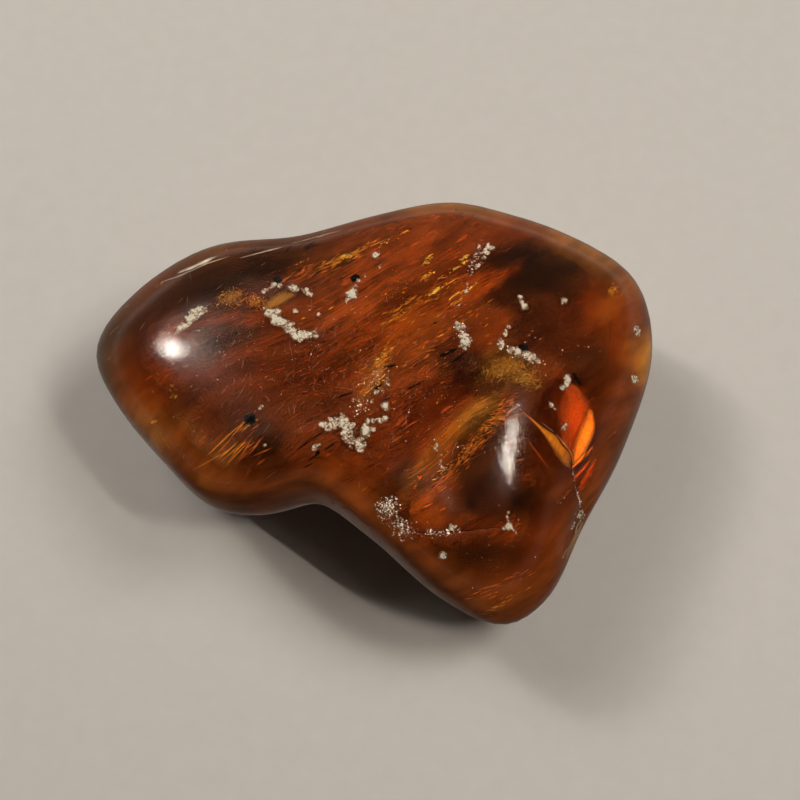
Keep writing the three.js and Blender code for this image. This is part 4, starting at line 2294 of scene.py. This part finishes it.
FIBRE_MATS = (
    Cluster((0.715, 0.525), (2.4, 1.2), 15, 1300, 0.32, 0.6, Tone.OCHRE),
    Cluster((0.72, 0.53), (2.0, 1.0), 15, 260, 0.3, 0.5, Tone.HONEY),
    Cluster((0.75, 0.505), (1.6, 1.0), -20, 500, 0.4, 0.7, Tone.OCHRE),
    Cluster((0.69, 0.485), (2.0, 0.9), 20, 350, 0.5, 0.6, Tone.UMBER),
    Cluster((0.655, 0.545), (1.0, 1.2), 70, 350, 0.5, 0.9, Tone.UMBER),
    Cluster((0.255, 0.7), (1.4, 1.0), 10, 450, 0.3, 0.5, Tone.OCHRE),
    Cluster((0.26, 0.705), (1.2, 0.8), 10, 150, 0.3, 0.4, Tone.HONEY),
    Cluster((0.3, 0.69), (1.4, 0.8), -20, 250, 0.35, 0.8, Tone.HONEY),
    Cluster((0.705, 0.425), (2.2, 0.8), 48, 150, 0.5, 0.8, Tone.AMBER, 0.2),
    Cluster((0.7, 0.42), (2.2, 0.7), 48, 70, 0.5, 0.8, Tone.HONEY, 0.2),
    Cluster((0.66, 0.35), (3.2, 0.9), 50, 150, 0.45, 0.9, Tone.AMBER, 0.08),
    Cluster((0.65, 0.34), (3.2, 0.7), 50, 110, 0.4, 0.8, Tone.HONEY, 0.08),
    Cluster((0.61, 0.27), (2.4, 0.5), 50, 60, 0.9, 0.9, Tone.AMBER, 0.1),
    Cluster((0.265, 0.345), (1.5, 1.2), 50, 9, 2.6, 0.8, Tone.HONEY, 0.08),
    Cluster((0.3, 0.345), (2.0, 1.8), 50, 14, 1.6, 0.8, Tone.AMBER, 0.15),
    Cluster((0.29, 0.39), (1.4, 0.8), 50, 8, 1.4, 0.8, Tone.HONEY, 0.12),
    Cluster((0.5, 0.52), (2.4, 0.9), 55, 120, 0.7, 0.9, Tone.AMBER, 0.25),
    Cluster((0.44, 0.8), (3.4, 0.7), 27, 80, 0.9, 0.8, Tone.HONEY, 0.12),
    Cluster((0.37, 0.76), (3.0, 0.9), 27, 40, 1.0, 0.9, Tone.AMBER, 0.12),
    Cluster((0.6, 0.72), (5.0, 1.6), 35, 60, 0.7, 0.9, Tone.HONEY, 0.15),
    Cluster((0.54, 0.655), (2.6, 1.2), 38, 40, 0.9, 0.9, Tone.HONEY, 0.15),
    Cluster((0.7, 0.055), (4.0, 0.8), 26, 60, 0.9, 0.7, Tone.AMBER, 0.06),
    Cluster((0.7, 0.025), (3.4, 0.5), 26, 50, 0.7, 0.5, Tone.HONEY, 0.06),
    Cluster((0.4, 0.4), (1.6, 1.4), 36, 26, 0.8, 0.4, Tone.PITCH, 0.05),
    Cluster((0.44, 0.35), (1.6, 0.8), 36, 12, 0.8, 0.5, Tone.PITCH, 0.05),
    Cluster((0.555, 0.45), (1.8, 1.6), 33, 26, 1.0, 0.4, Tone.PITCH, 0.05),
    Cluster((0.38, 0.34), (1.8, 1.2), 36, 26, 0.8, 0.4, Tone.PITCH, 0.05),
    Cluster((0.5, 0.33), (5.0, 2.4), 36, 24, 0.8, 0.5, Tone.PITCH, 0.05),
    Cluster((0.6, 0.52), (4.0, 3.0), 33, 30, 0.8, 0.5, Tone.PITCH, 0.06),
    Cluster((0.45, 0.62), (8.0, 4.0), 30, 40, 0.7, 0.5, Tone.PITCH, 0.06),
    Cluster((0.42, 0.5), (8.0, 5.0), 30, 120, 0.35, 0.3, Tone.AMBER, 0.25),
    Cluster((0.6, 0.6), (8.0, 5.0), 30, 160, 0.5, 0.4, Tone.HONEY, 0.2),
    Cluster((0.505, 0.525), (3.0, 0.5), 62, 110, 0.6, 0.7, Tone.HONEY, 0.2),
    Cluster((0.915, 0.75), (0.7, 1.0), -20, 50, 0.5, 0.6, Tone.HONEY, 0.3),
)

PALE_PATCHES = (
    Cluster((0.52, 0.215), (1.2, 1.1), 30, 240, 0.055, 0.03, Tone.CHALK),
    Cluster((0.315, 0.43), (0.3, 0.16), 40, 14, 0.05, 0.0, Tone.CHALK),
    Cluster((0.845, 0.265), (0.9, 0.15), -60, 40, 0.05, 0.0, Tone.CHALK),
    Cluster((0.83, 0.31), (0.9, 0.12), -75, 26, 0.045, 0.0, Tone.CHALK),
    Cluster((0.545, 0.175), (1.4, 0.8), -20, 130, 0.06, 0.03, Tone.CHALK),
    Cluster((0.5, 0.5), (0.9, 1.8), -60, 70, 0.045, 0.03, Tone.CHALK),
    Cluster((0.475, 0.44), (1.4, 1.2), 20, 60, 0.05, 0.03, Tone.CHALK),
    Cluster((0.645, 0.6), (0.8, 1.6), 10, 70, 0.06, 0.03, Tone.CHALK),
    Cluster((0.74, 0.56), (1.8, 0.8), -25, 70, 0.05, 0.03, Tone.CHALK),
    Cluster((0.67, 0.8), (0.5, 2.0), -25, 60, 0.05, 0.03, Tone.CHALK),
    Cluster((0.6, 0.165), (2.6, 0.4), 0, 70, 0.055, 0.03, Tone.CHALK),
    Cluster((0.42, 0.56), (9.0, 6.0), 20, 90, 0.028, 0.02, Tone.CHALK),
    Cluster((0.62, 0.4), (9.0, 8.0), 20, 90, 0.03, 0.02, Tone.CHALK),
    Cluster((0.8, 0.6), (5.0, 6.0), 20, 40, 0.03, 0.02, Tone.CHALK),
    Cluster((0.68, 0.15), (5.0, 4.0), 20, 24, 0.03, 0.02, Tone.CHALK),
    Cluster((0.25, 0.55), (6.0, 5.0), 20, 50, 0.028, 0.02, Tone.CHALK),
)

HOLES = (
    Hole((0.3, 0.405), (0.7, 0.6), 20, -0.02),
    Hole((0.465, 0.745), (0.55, 0.42), 20),
    Hole((0.335, 0.745), (0.5, 0.42), 0, 0.4),
    Hole((0.27, 0.61), (0.24, 0.2), 0),
    Hole((0.41, 0.33), (0.26, 0.18), 40),
    Hole((0.745, 0.575), (0.6, 0.34), -20),
    Hole((0.385, 0.345), (0.8, 0.09), 38, 0.7),
    Hole((0.395, 0.355), (0.7, 0.08), 38, 0.7),
    Hole((0.405, 0.32), (0.8, 0.08), 38, 0.6),
    Hole((0.395, 0.3), (0.6, 0.07), 38, 0.6),
    Hole((0.41, 0.37), (0.8, 0.1), 35, 0.5),
    Hole((0.43, 0.345), (0.8, 0.09), 35, 0.5),
    Hole((0.45, 0.465), (0.9, 0.12), 20, 0.6),
    Hole((0.525, 0.535), (0.7, 0.13), 15, 0.6),
    Hole((0.505, 0.485), (0.6, 0.12), 40, 0.6),
    Hole((0.56, 0.485), (0.7, 0.1), 25, 0.5),
    Hole((0.575, 0.495), (0.6, 0.1), 25, 0.5),
    Hole((0.62, 0.565), (1.1, 0.22), 25, 0.5),
    Hole((0.635, 0.55), (0.9, 0.16), 35, 0.5),
    Hole((0.84, 0.52), (1.0, 0.26), -48, 0.7),
    Hole((0.6, 0.635), (0.18, 0.12), 20, 0.3),
    Hole((0.86, 0.37), (1.5, 0.07), 50, 0.3),
    Hole((0.86, 0.355), (1.2, 0.05), 48, 0.3),
    Hole((0.845, 0.335), (0.9, 0.05), 45, 0.3),
)

PETALS = (
    Petal(
        ((0.735, 0.435), (0.76, 0.41), (0.78, 0.39), (0.8, 0.37), (0.815, 0.35), (0.83, 0.325)),
        1.1, 0.5, Tone.TOPAZ, Tone.AMBER, cup=0.1, soft=0.6, belly=0.8, lean=0.4,
    ),
    Petal(((0.75, 0.37), (0.77, 0.34), (0.79, 0.31)), 0.1, 0.6, Tone.ORANGE, Tone.RUSSET),
    Petal(
        ((0.31, 0.67), (0.33, 0.69), (0.35, 0.705), (0.37, 0.71)), 0.95, 0.7, Tone.OCHRE, Tone.CLAY,
        soft=0.8,
    ),
    Petal(((0.555, 0.2), (0.58, 0.23), (0.61, 0.26)), 1.2, 1.2, Tone.ORANGE, Tone.RUSSET, soft=0.9),
)

# The flash in the crack at the right: glossy films lit by the inner fill, whose bright tint is a painted
# highlight, brightest along one line.
EMBERS = (
    Petal(
        ((0.83, 0.335), (0.835, 0.375), (0.84, 0.415), (0.84, 0.46), (0.83, 0.51)), 2.6, 1.35,
        Tone.BLAZE, Tone.RUSSET, cup=0.0, soft=1.0, lean=-0.2, fall=2.0, tilt=0.45,
    ),
    Petal(
        ((0.83, 0.33), (0.84, 0.36), (0.85, 0.39), (0.86, 0.42), (0.865, 0.46)), 0.95, 0.5,
        Tone.EMBER, Tone.ORANGE, cup=0.0, soft=0.8, lean=-0.2, fall=1.4, tilt=0.38,
    ),
    Petal(
        ((0.825, 0.32), (0.845, 0.345), (0.87, 0.38)), 0.24, 0.5, Tone.EMBER, Tone.BLAZE, cup=0.0,
        soft=0.9, tilt=0.1,
    ),
    Petal(
        ((0.83, 0.3), (0.85, 0.325), (0.865, 0.35)), 0.2, 0.5, Tone.BLAZE, Tone.BLAZE, cup=0.0,
        soft=0.9, tilt=0.08,
    ),
    Petal(
        ((0.84, 0.27), (0.855, 0.3), (0.87, 0.335), (0.88, 0.36)), 0.5, 0.55, Tone.BLAZE, Tone.RUST,
        cup=0.0, soft=0.95, lean=0.3, tilt=0.2,
    ),
)

# Pale marks on the skin. The pale streaks along the far crease and the white streaks at the notch are
# painted highlights; the others are pale and ochre marks along cracks and edges.
RUBS_AND_GLINTS = (
    Petal(
        ((0.12, 0.765), (0.16, 0.775), (0.205, 0.8), (0.25, 0.815)), 0.14, 0.0, Tone.CHALK,
        Tone.CHALK,
    ),
    Petal(((0.155, 0.785), (0.18, 0.795), (0.225, 0.82)), 0.45, 0.0, Tone.CHALK, Tone.CHALK),
    Petal(((0.265, 0.805), (0.3, 0.82), (0.34, 0.835)), 0.16, 0.0, Tone.CHALK, Tone.CHALK),
    Petal(((0.35, 0.845), (0.4, 0.87), (0.445, 0.885)), 0.09, 0.0, Tone.CHALK, Tone.CHALK),
    Petal(((0.395, 0.865), (0.41, 0.87)), 0.14, 0.0, Tone.CHALK, Tone.CHALK),
    Petal(((0.19, 0.41), (0.2, 0.395), (0.205, 0.375)), 0.035, 0.0, Tone.OCHRE, Tone.OCHRE),
    Petal(((0.175, 0.42), (0.18, 0.425), (0.185, 0.42)), 0.06, 0.0, Tone.OCHRE, Tone.OCHRE),
    Petal(((0.14, 0.4), (0.15, 0.375), (0.165, 0.35)), 0.14, 0.3, Tone.OCHRE, Tone.OCHRE),
    Petal(
        ((0.77, 0.41), (0.79, 0.395), (0.805, 0.38), (0.82, 0.36)), 0.05, 0.0, Tone.BLUSH,
        Tone.BLUSH,
    ),
    Petal(((0.83, 0.32), (0.835, 0.3), (0.84, 0.27)), 0.05, 0.0, Tone.BLUSH, Tone.BLUSH),
    Petal(
        ((0.86, 0.24), (0.85, 0.21), (0.835, 0.175), (0.82, 0.135)), 0.4, 0.02, Tone.HAZE,
        Tone.OCHRE, soft=0.4,
    ),
    Petal(((0.855, 0.235), (0.845, 0.215), (0.84, 0.195)), 0.1, 0.0, Tone.CHALK, Tone.CHALK),
    Petal(((0.83, 0.17), (0.82, 0.15), (0.815, 0.135)), 0.08, 0.0, Tone.CHALK, Tone.CHALK),
)

SEAMS = (
    Seam(
        (
            (0.76, 0.41), (0.78, 0.395), (0.795, 0.39), (0.81, 0.365), (0.825, 0.35), (0.825, 0.33),
            (0.83, 0.305), (0.84, 0.28), (0.845, 0.265), (0.855, 0.245),
        ),
        0.05, 1.2, 0.5, Tone.RUSSET,
    ),
    Seam(((0.8, 0.24), (0.815, 0.26), (0.825, 0.275), (0.84, 0.28)), 0.04, 0.8),
    Seam(
        (
            (0.54, 0.185), (0.56, 0.17), (0.58, 0.165), (0.61, 0.165), (0.635, 0.17), (0.67, 0.175),
            (0.705, 0.18),
        ),
        0.05, 2.2, -0.7, Tone.RUSSET,
    ),
    Seam(((0.72, 0.845), (0.71, 0.825), (0.715, 0.805)), 0.035, 0.5),
    Seam(((0.735, 0.835), (0.72, 0.82), (0.705, 0.815)), 0.03, 0.5),
    Seam(((0.375, 0.27), (0.425, 0.255), (0.46, 0.225), (0.5, 0.18)), 0.03, 0.6, 0.2, Tone.RUSSET),
)

CRUSTS = (
    (
        "crust_left",
        (
            Stroke(((0.17, 0.62), (0.185, 0.635), (0.195, 0.65), (0.215, 0.675)), 0.53),
            Stroke(((0.19, 0.65), (0.205, 0.67)), 0.74),
            Stroke(((0.31, 0.71), (0.325, 0.725), (0.345, 0.73)), 0.26, 24.0, 0.12),
            Stroke(((0.35, 0.725), (0.375, 0.715), (0.39, 0.705)), 0.33, 24.0, 0.13),
            Stroke(((0.32, 0.665), (0.335, 0.65)), 1.02),
            Stroke(((0.34, 0.64), (0.35, 0.63), (0.365, 0.615)), 0.66),
            Stroke(((0.365, 0.61), (0.39, 0.605)), 0.79),
            Stroke(((0.395, 0.61), (0.4, 0.605), (0.395, 0.6)), 0.36, 24.0, 0.12),
            Stroke(((0.365, 0.665),), 0.14, 28.0, 0.1),
            Stroke(((0.405, 0.655),), 0.17, 28.0, 0.1),
            Stroke(((0.43, 0.645),), 0.12, 28.0, 0.08),
            Stroke(((0.325, 0.345),), 0.2, 28.0, 0.11),
        ),
        91,
    ),
    (
        "crust_middle",
        (
            Stroke(((0.45, 0.685), (0.46, 0.7), (0.465, 0.72), (0.48, 0.75)), 0.23, 28.0, 0.13),
            Stroke(((0.495, 0.8), (0.505, 0.805)), 0.2, 24.0, 0.11),
            Stroke(((0.51, 0.795), (0.51, 0.78), (0.505, 0.77)), 0.14, 24.0, 0.09),
            Stroke(((0.425, 0.385), (0.44, 0.4)), 0.8),
            Stroke(((0.445, 0.4), (0.465, 0.39)), 1.05),
            Stroke(((0.455, 0.38), (0.455, 0.365)), 0.7),
            Stroke(((0.47, 0.35), (0.48, 0.345)), 0.85),
            Stroke(((0.485, 0.38), (0.495, 0.385)), 0.48),
            Stroke(((0.49, 0.395), (0.505, 0.41)), 0.42),
            Stroke(((0.51, 0.4), (0.515, 0.41)), 0.4),
            Stroke(((0.515, 0.43), (0.52, 0.44)), 0.38),
            Stroke(((0.5, 0.47), (0.51, 0.475), (0.515, 0.47), (0.51, 0.46)), 0.1, 32.0, 0.08),
            Stroke(((0.515, 0.49), (0.52, 0.495), (0.525, 0.485)), 0.12, 32.0, 0.08),
            Stroke(((0.495, 0.45), (0.5, 0.445)), 0.17, 24.0, 0.09),
            Stroke(((0.4, 0.335), (0.41, 0.345)), 0.36, 20.0, 0.12),
            Stroke(((0.485, 0.535),), 0.14, 28.0, 0.08),
            Stroke(((0.595, 0.365), (0.6, 0.34), (0.605, 0.33)), 0.19, 24.0, 0.1),
            Stroke(((0.605, 0.315), (0.61, 0.3)), 0.22, 24.0, 0.1),
        ),
        93,
    ),
    (
        "crust_right",
        (
            Stroke(((0.705, 0.84), (0.695, 0.825), (0.685, 0.81)), 0.49, 20.0, 0.13),
            Stroke(((0.685, 0.81), (0.68, 0.79), (0.67, 0.77)), 0.33, 18.0, 0.11),
            Stroke(((0.67, 0.77), (0.655, 0.74), (0.65, 0.705)), 0.12, 24.0, 0.08),
            Stroke(((0.63, 0.675), (0.64, 0.675), (0.65, 0.685)), 0.09, 32.0, 0.06),
            Stroke(((0.74, 0.695), (0.745, 0.68), (0.75, 0.67)), 0.4),
            Stroke(((0.815, 0.69), (0.82, 0.7)), 0.26),
            Stroke(((0.635, 0.635), (0.64, 0.62)), 0.43, 18.0, 0.13),
            Stroke(((0.645, 0.605), (0.65, 0.59)), 0.53, 16.0, 0.13),
            Stroke(((0.64, 0.58), (0.645, 0.565)), 0.23, 18.0, 0.1),
            Stroke(((0.72, 0.62), (0.715, 0.605)), 0.22, 24.0, 0.1),
            Stroke(((0.71, 0.59), (0.71, 0.575)), 0.56),
            Stroke(((0.72, 0.565), (0.735, 0.565)), 0.49),
            Stroke(((0.74, 0.57), (0.755, 0.555), (0.77, 0.54)), 0.43),
            Stroke(((0.78, 0.54),), 0.14, 24.0, 0.09),
            Stroke(((0.82, 0.525), (0.82, 0.51), (0.81, 0.49)), 0.33),
            Stroke(((0.81, 0.495), (0.81, 0.49)), 0.23),
            Stroke(((0.785, 0.46), (0.795, 0.44)), 0.2, 24.0, 0.1),
            Stroke(((0.8, 0.395), (0.81, 0.405), (0.82, 0.415)), 0.2, 28.0, 0.1),
            Stroke(((0.955, 0.67), (0.955, 0.655)), 0.42, 50.0, 0.09),
            Stroke(((0.945, 0.56), (0.95, 0.55)), 0.46, 50.0, 0.09),
        ),
        95,
    ),
    (
        "crust_front",
        (
            Stroke(((0.71, 0.18), (0.72, 0.185)), 0.34, 50.0, 0.09),
            Stroke(((0.715, 0.19), (0.715, 0.21)), 0.15, 50.0, 0.07),
            Stroke(((0.715, 0.18), (0.715, 0.195)), 0.24, 50.0, 0.08),
            Stroke(((0.72, 0.18), (0.73, 0.17)), 0.16, 50.0, 0.07),
            Stroke(((0.6, 0.16), (0.62, 0.17), (0.64, 0.175)), 0.17, 20.0, 0.1),
            Stroke(((0.62, 0.175), (0.63, 0.18)), 0.33, 20.0, 0.11),
            Stroke(((0.855, 0.245), (0.845, 0.235)), 0.56),
            Stroke(((0.84, 0.22), (0.83, 0.205)), 0.23),
            Stroke(((0.61, 0.12),), 0.17),
            Stroke(((0.8, 0.24), (0.815, 0.26), (0.825, 0.27)), 0.09, 18.0, 0.06),
        ),
        97,
    ),
)


# ---- The studio ----

WARM = (1.0, 0.94, 0.84)
SAND = (1.0, 0.74, 0.52)
KEY_AIM = (0.72, 0.34, 0.95)
SHOULDER_AIM = (0.17, 0.57, 0.95)
HEART_AIM = (0.5, 0.5, 0.5)
TOP_AIM = (0.5, 0.5, 1.0)


@dataclass(frozen=True)
class Softbox:
    """A studio light with an oval face.

    Attributes:
        name: Its name.
        aim: Share of the box of the point that it faces.
        bearing: Direction from that point to the light, anticlockwise from +X, in degrees.
        rise: Its height above the horizon, in degrees.
        distance: How far off it stands, in mm.
        size: Width and height of its face, in mm.
        watts: Its power.
        colour: Its colour.
        roll: Turn about the way that it faces, in degrees.
        glossy: Whether it shows in reflections.
        diffuse: Whether it lights matt surfaces.
        inside: Whether it lights what is sealed in the resin.
    """

    name: str
    aim: Triple
    bearing: float
    rise: float
    distance: float
    size: Pair
    watts: float
    colour: Colour = (1.0, 0.97, 0.93)
    roll: float = 0.0
    glossy: bool = True
    diffuse: bool = True
    inside: bool = False

    def build(self, pebble: Pebble) -> Piece:
        """Hangs the light and turns it to its aim.

        Args:
            pebble: What it lights.

        Returns:
            The light.
        """
        data = bpy.data.lights.new(self.name, "AREA")
        data.shape = "ELLIPSE"
        data.size, data.size_y = (edge * MM for edge in self.size)
        data.energy, data.color = self.watts, self.colour
        light = bpy.data.objects.new(self.name, data)
        target = Vector((pebble.low + np.array(self.aim) * (pebble.high - pebble.low)) * MM)
        bearing, rise = math.radians(self.bearing), math.radians(self.rise)
        level = math.cos(rise)
        away = Vector((math.cos(bearing) * level, math.sin(bearing) * level, math.sin(rise)))
        light.location = target + away * self.distance * MM
        turn = away.to_track_quat("Z", "Y") @ Quaternion((0, 0, 1), math.radians(self.roll))
        light.rotation_euler = turn.to_euler()
        light.visible_glossy, light.visible_diffuse = self.glossy, self.diffuse
        light.visible_camera, light.visible_transmission = False, self.inside
        bpy.context.scene.collection.objects.link(light)
        return light


@dataclass
class Studio:
    """The floor, the room's light and the camera.

    Attributes:
        floor_size: Width of the floor, in mm.
        camera_aim: Share of the box of the point that the camera faces.
        camera_rise: The camera's height above the horizon, in degrees.
        camera_distance: How far from that point it stands, in mm.
        lens: Its focal length, in mm.
        sensor: Width of its sensor, in mm.
    """

    pebble: Pebble
    floor_size: float = 3000.0
    camera_aim: Triple = (0.541, 0.532, 0.483)
    camera_rise: float = 72.0
    camera_distance: float = 132.4
    lens: float = 50.0
    sensor: float = 36.0

    def build(self) -> None:
        """Sets up everything that isn't the pebble."""
        self._lay_floor()
        self._light_room()
        self._stand_camera()

    def _lay_floor(self) -> None:
        """Lays the pale floor that the pebble rests on."""
        half = self.floor_size / 2
        corners = np.array([[-half, -half, 0], [half, -half, 0], [half, half, 0], [-half, half, 0]])
        mesh = fill_mesh("floor", corners, np.array([[0, 1, 2], [0, 2, 3]]))
        mesh.materials.append(FloorFinish().make())
        floor = bpy.data.objects.new("floor", mesh)
        bpy.context.scene.collection.objects.link(floor)
        floor.visible_glossy = False

    def _light_room(self) -> None:
        """Gives the room pale walls, a dim ceiling, a warm floor glow and its softboxes."""
        board = NodeBoard("room", world=True)
        ways = board.add("SeparateXYZ", {0: board.add("TexCoord").outputs["Generated"]}).outputs
        wall, haze, ceiling = (0.75, 0.70, 0.63), (0.11, 0.097, 0.082), (0.052, 0.044, 0.036)
        above = board.colours(ways["Z"], [(0.0, wall), (0.16, haze), (0.95, ceiling)])
        near = board.ranged(ways["Y"], (0.0, 0.8), (0.15, 1.0))
        over = board.ranged(ways["Z"], (-0.04, 0.02))
        front, back = (0.042, 0.018, 0.010), (0.17, 0.145, 0.12)
        below = board.colours(board.ranged(ways["Y"], (-0.3, 0.3)), [(0.0, front), (1.0, back)])
        power = board.add("Mix", {0: over, 2: 1.0, 3: near}).outputs[0]
        inputs = {"Color": board.mix(over, below, above), "Strength": power}
        bpy.context.scene.world = board.finish("Background", inputs)
        for softbox in (
            Softbox("key_core", KEY_AIM, -11, 60.5, 420, (4, 116), 0.245, WARM, roll=-31),
            Softbox("key_glow", KEY_AIM, -11, 60.5, 420, (6.5, 130), 0.025, WARM, roll=-29),
            Softbox("key_mist", KEY_AIM, -10, 60.5, 420, (9, 150), 0.018, SAND, roll=-27),
            Softbox("key_haze", KEY_AIM, -9.5, 60, 420, (13, 170), 0.016, SAND, roll=-25),
            Softbox("key_halo", KEY_AIM, -9, 59, 420, (19, 200), 0.022, SAND, roll=-22),
            Softbox("key_panel", KEY_AIM, -8.6, 61.5, 420, (110, 110), 0.12, WARM, glossy=False),
            Softbox("shoulder_core", SHOULDER_AIM, 140, 44.5, 420, (36, 72), 0.25, WARM, roll=30),
            Softbox("shoulder_glow", SHOULDER_AIM, 140, 44, 420, (46, 110), 0.08, WARM, roll=30),
            Softbox("shoulder_mist", SHOULDER_AIM, 136, 48, 420, (56, 180), 0.035, WARM, roll=30),
            Softbox("shoulder_haze", SHOULDER_AIM, 133, 51, 420, (80, 240), 0.03, WARM, roll=30),
            Softbox("shoulder_halo", SHOULDER_AIM, 132, 51, 420, (180, 310), 0.025, WARM, roll=30),
            Softbox("left_panel", HEART_AIM, 138, 47, 500, (220, 220), 0.56, glossy=False),
            Softbox("right_panel", HEART_AIM, 22, 55, 500, (170, 170), 0.68, glossy=False),
            Softbox(
                "inner_fill", TOP_AIM, 60, 80, 300, (800, 800), 5.0, glossy=False, diffuse=False, inside=True
            ),
        ):
            softbox.build(self.pebble)

    def _stand_camera(self) -> None:
        """Stands the camera above the front, looking down."""
        data = bpy.data.cameras.new("camera")
        data.lens, data.sensor_width = self.lens, self.sensor
        data.clip_start, data.clip_end = 1 * MM, 10.0
        camera = bpy.data.objects.new("camera", data)
        low, high = self.pebble.low, self.pebble.high
        target = Vector((low + np.array(self.camera_aim) * (high - low)) * MM)
        rise = math.radians(self.camera_rise)
        back = Vector((0, -math.cos(rise), math.sin(rise)))
        camera.location = target + back * self.camera_distance * MM
        camera.rotation_euler = back.to_track_quat("Z", "Y").to_euler()
        bpy.context.scene.collection.objects.link(camera)
        bpy.context.scene.camera = camera
        bpy.context.scene.view_settings.view_transform = "Standard"


def main() -> None:
    """Builds the pebble, what is sealed in it and the studio, in order."""
    logging.basicConfig(level=logging.INFO, format="%(name)s %(message)s")
    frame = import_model()
    pebble = Pebble(frame["nodes"]["amber"], DENTS)
    Studio(pebble).build()
    flow = Flow(pebble)
    AmberBody(pebble).build()
    torn, whole = VeilFinish("torn_veil").make(), VeilFinish("deep_veil", ragged=0.0).make()
    for name, depth, wave, tone, cover, seed, still, side, finish in (
        ("flow_veil_a", 1.4, 0.4, Tone.RUSSET, 0.30, 11, 0.0, 4.6, torn),
        ("flow_veil_b", 2.6, 0.8, Tone.RUSSET, 0.45, 23, 0.2, 5.4, torn),
        ("flow_veil_c", 4.2, 1.1, Tone.RUST, 0.60, 31, 0.5, 6.2, torn),
        ("flow_veil_d", 6.0, 1.2, Tone.RUST, 1.0, 37, 0.8, 1.0, whole),
    ):
        FlowVeil(pebble, flow, name, depth, wave, tone, cover, seed, still, side).build(finish)
    needle_finish = GrainFinish("needle_resin", roughness=0.4).make()
    for name, count, depths, lengths, width, tone, seed in (
        ("rust_needles", 4000, (0.4, 2.0), (0.5, 2.4), 0.016, Tone.RUSSET, 41),
        ("dark_needles", 1800, (0.4, 1.8), (0.5, 2.0), 0.022, Tone.SOOT, 43),
        ("gold_needles", 600, (0.4, 1.6), (0.3, 1.2), 0.016, Tone.GOLD, 47),
    ):
        Needles(pebble, flow, name, count, depths, lengths, width, tone, seed).build(needle_finish)
    leaf_finish = GrainFinish("leaf_resin", roughness=0.5).make()
    leaves = FlowLeaves(pebble, flow, "flow_leaves", 900, (1.2, 4.0), (0.4, 2.0), 5.0, Tone.RUSSET, 53)
    leaves.build(leaf_finish)
    GoldFlakes(pebble, flow, GOLD_CLUSTERS).build(GrainFinish("gold_flake", 0.35, 0.6).make())
    crumb_finish = GrainFinish("crumb", roughness=0.8, metal=0.0).make()
    FibreMats(pebble, flow, "honey_fibres", FIBRE_MATS, 67).build(needle_finish)
    Crumbs(pebble, "pale_grains", PALE_PATCHES, Slot.CRUST, 69).build(crumb_finish)
    film_finish = FilmFinish().make()
    CrackPetals(pebble, "crack_petals", PETALS, 85).build(film_finish)
    # the flash film: its glint is partly real reflection of the inner fill and partly painted in its bright
    # tint
    ember_finish = FilmFinish("ember_film", roughness=0.35, metal=0.8, streaky=0.3, grainy=0.85).make()
    CrackPetals(pebble, "ember_films", EMBERS, 88).build(ember_finish)
    # marks on the skin, partly painted highlight streaks
    CrackPetals(pebble, "edge_rubs_and_glints", RUBS_AND_GLINTS, 86, ragged=0.6).build(film_finish)
    soot_finish = GrainFinish("soot", roughness=0.7, metal=0.0).make()
    SurfaceCracks(pebble, SEAMS).build(soot_finish, film_finish)
    DarkHollows(pebble, "dark_hollows", HOLES, 73).build(soot_finish)
    crust_finish = CrustFinish().make()
    for name, strokes, seed in CRUSTS:
        CrustPatch(pebble, name, strokes, seed).build(crust_finish)
    HairScratches(pebble).build(GrainFinish("scratch", roughness=0.5).make())


if __name__ == "__main__":
    main()
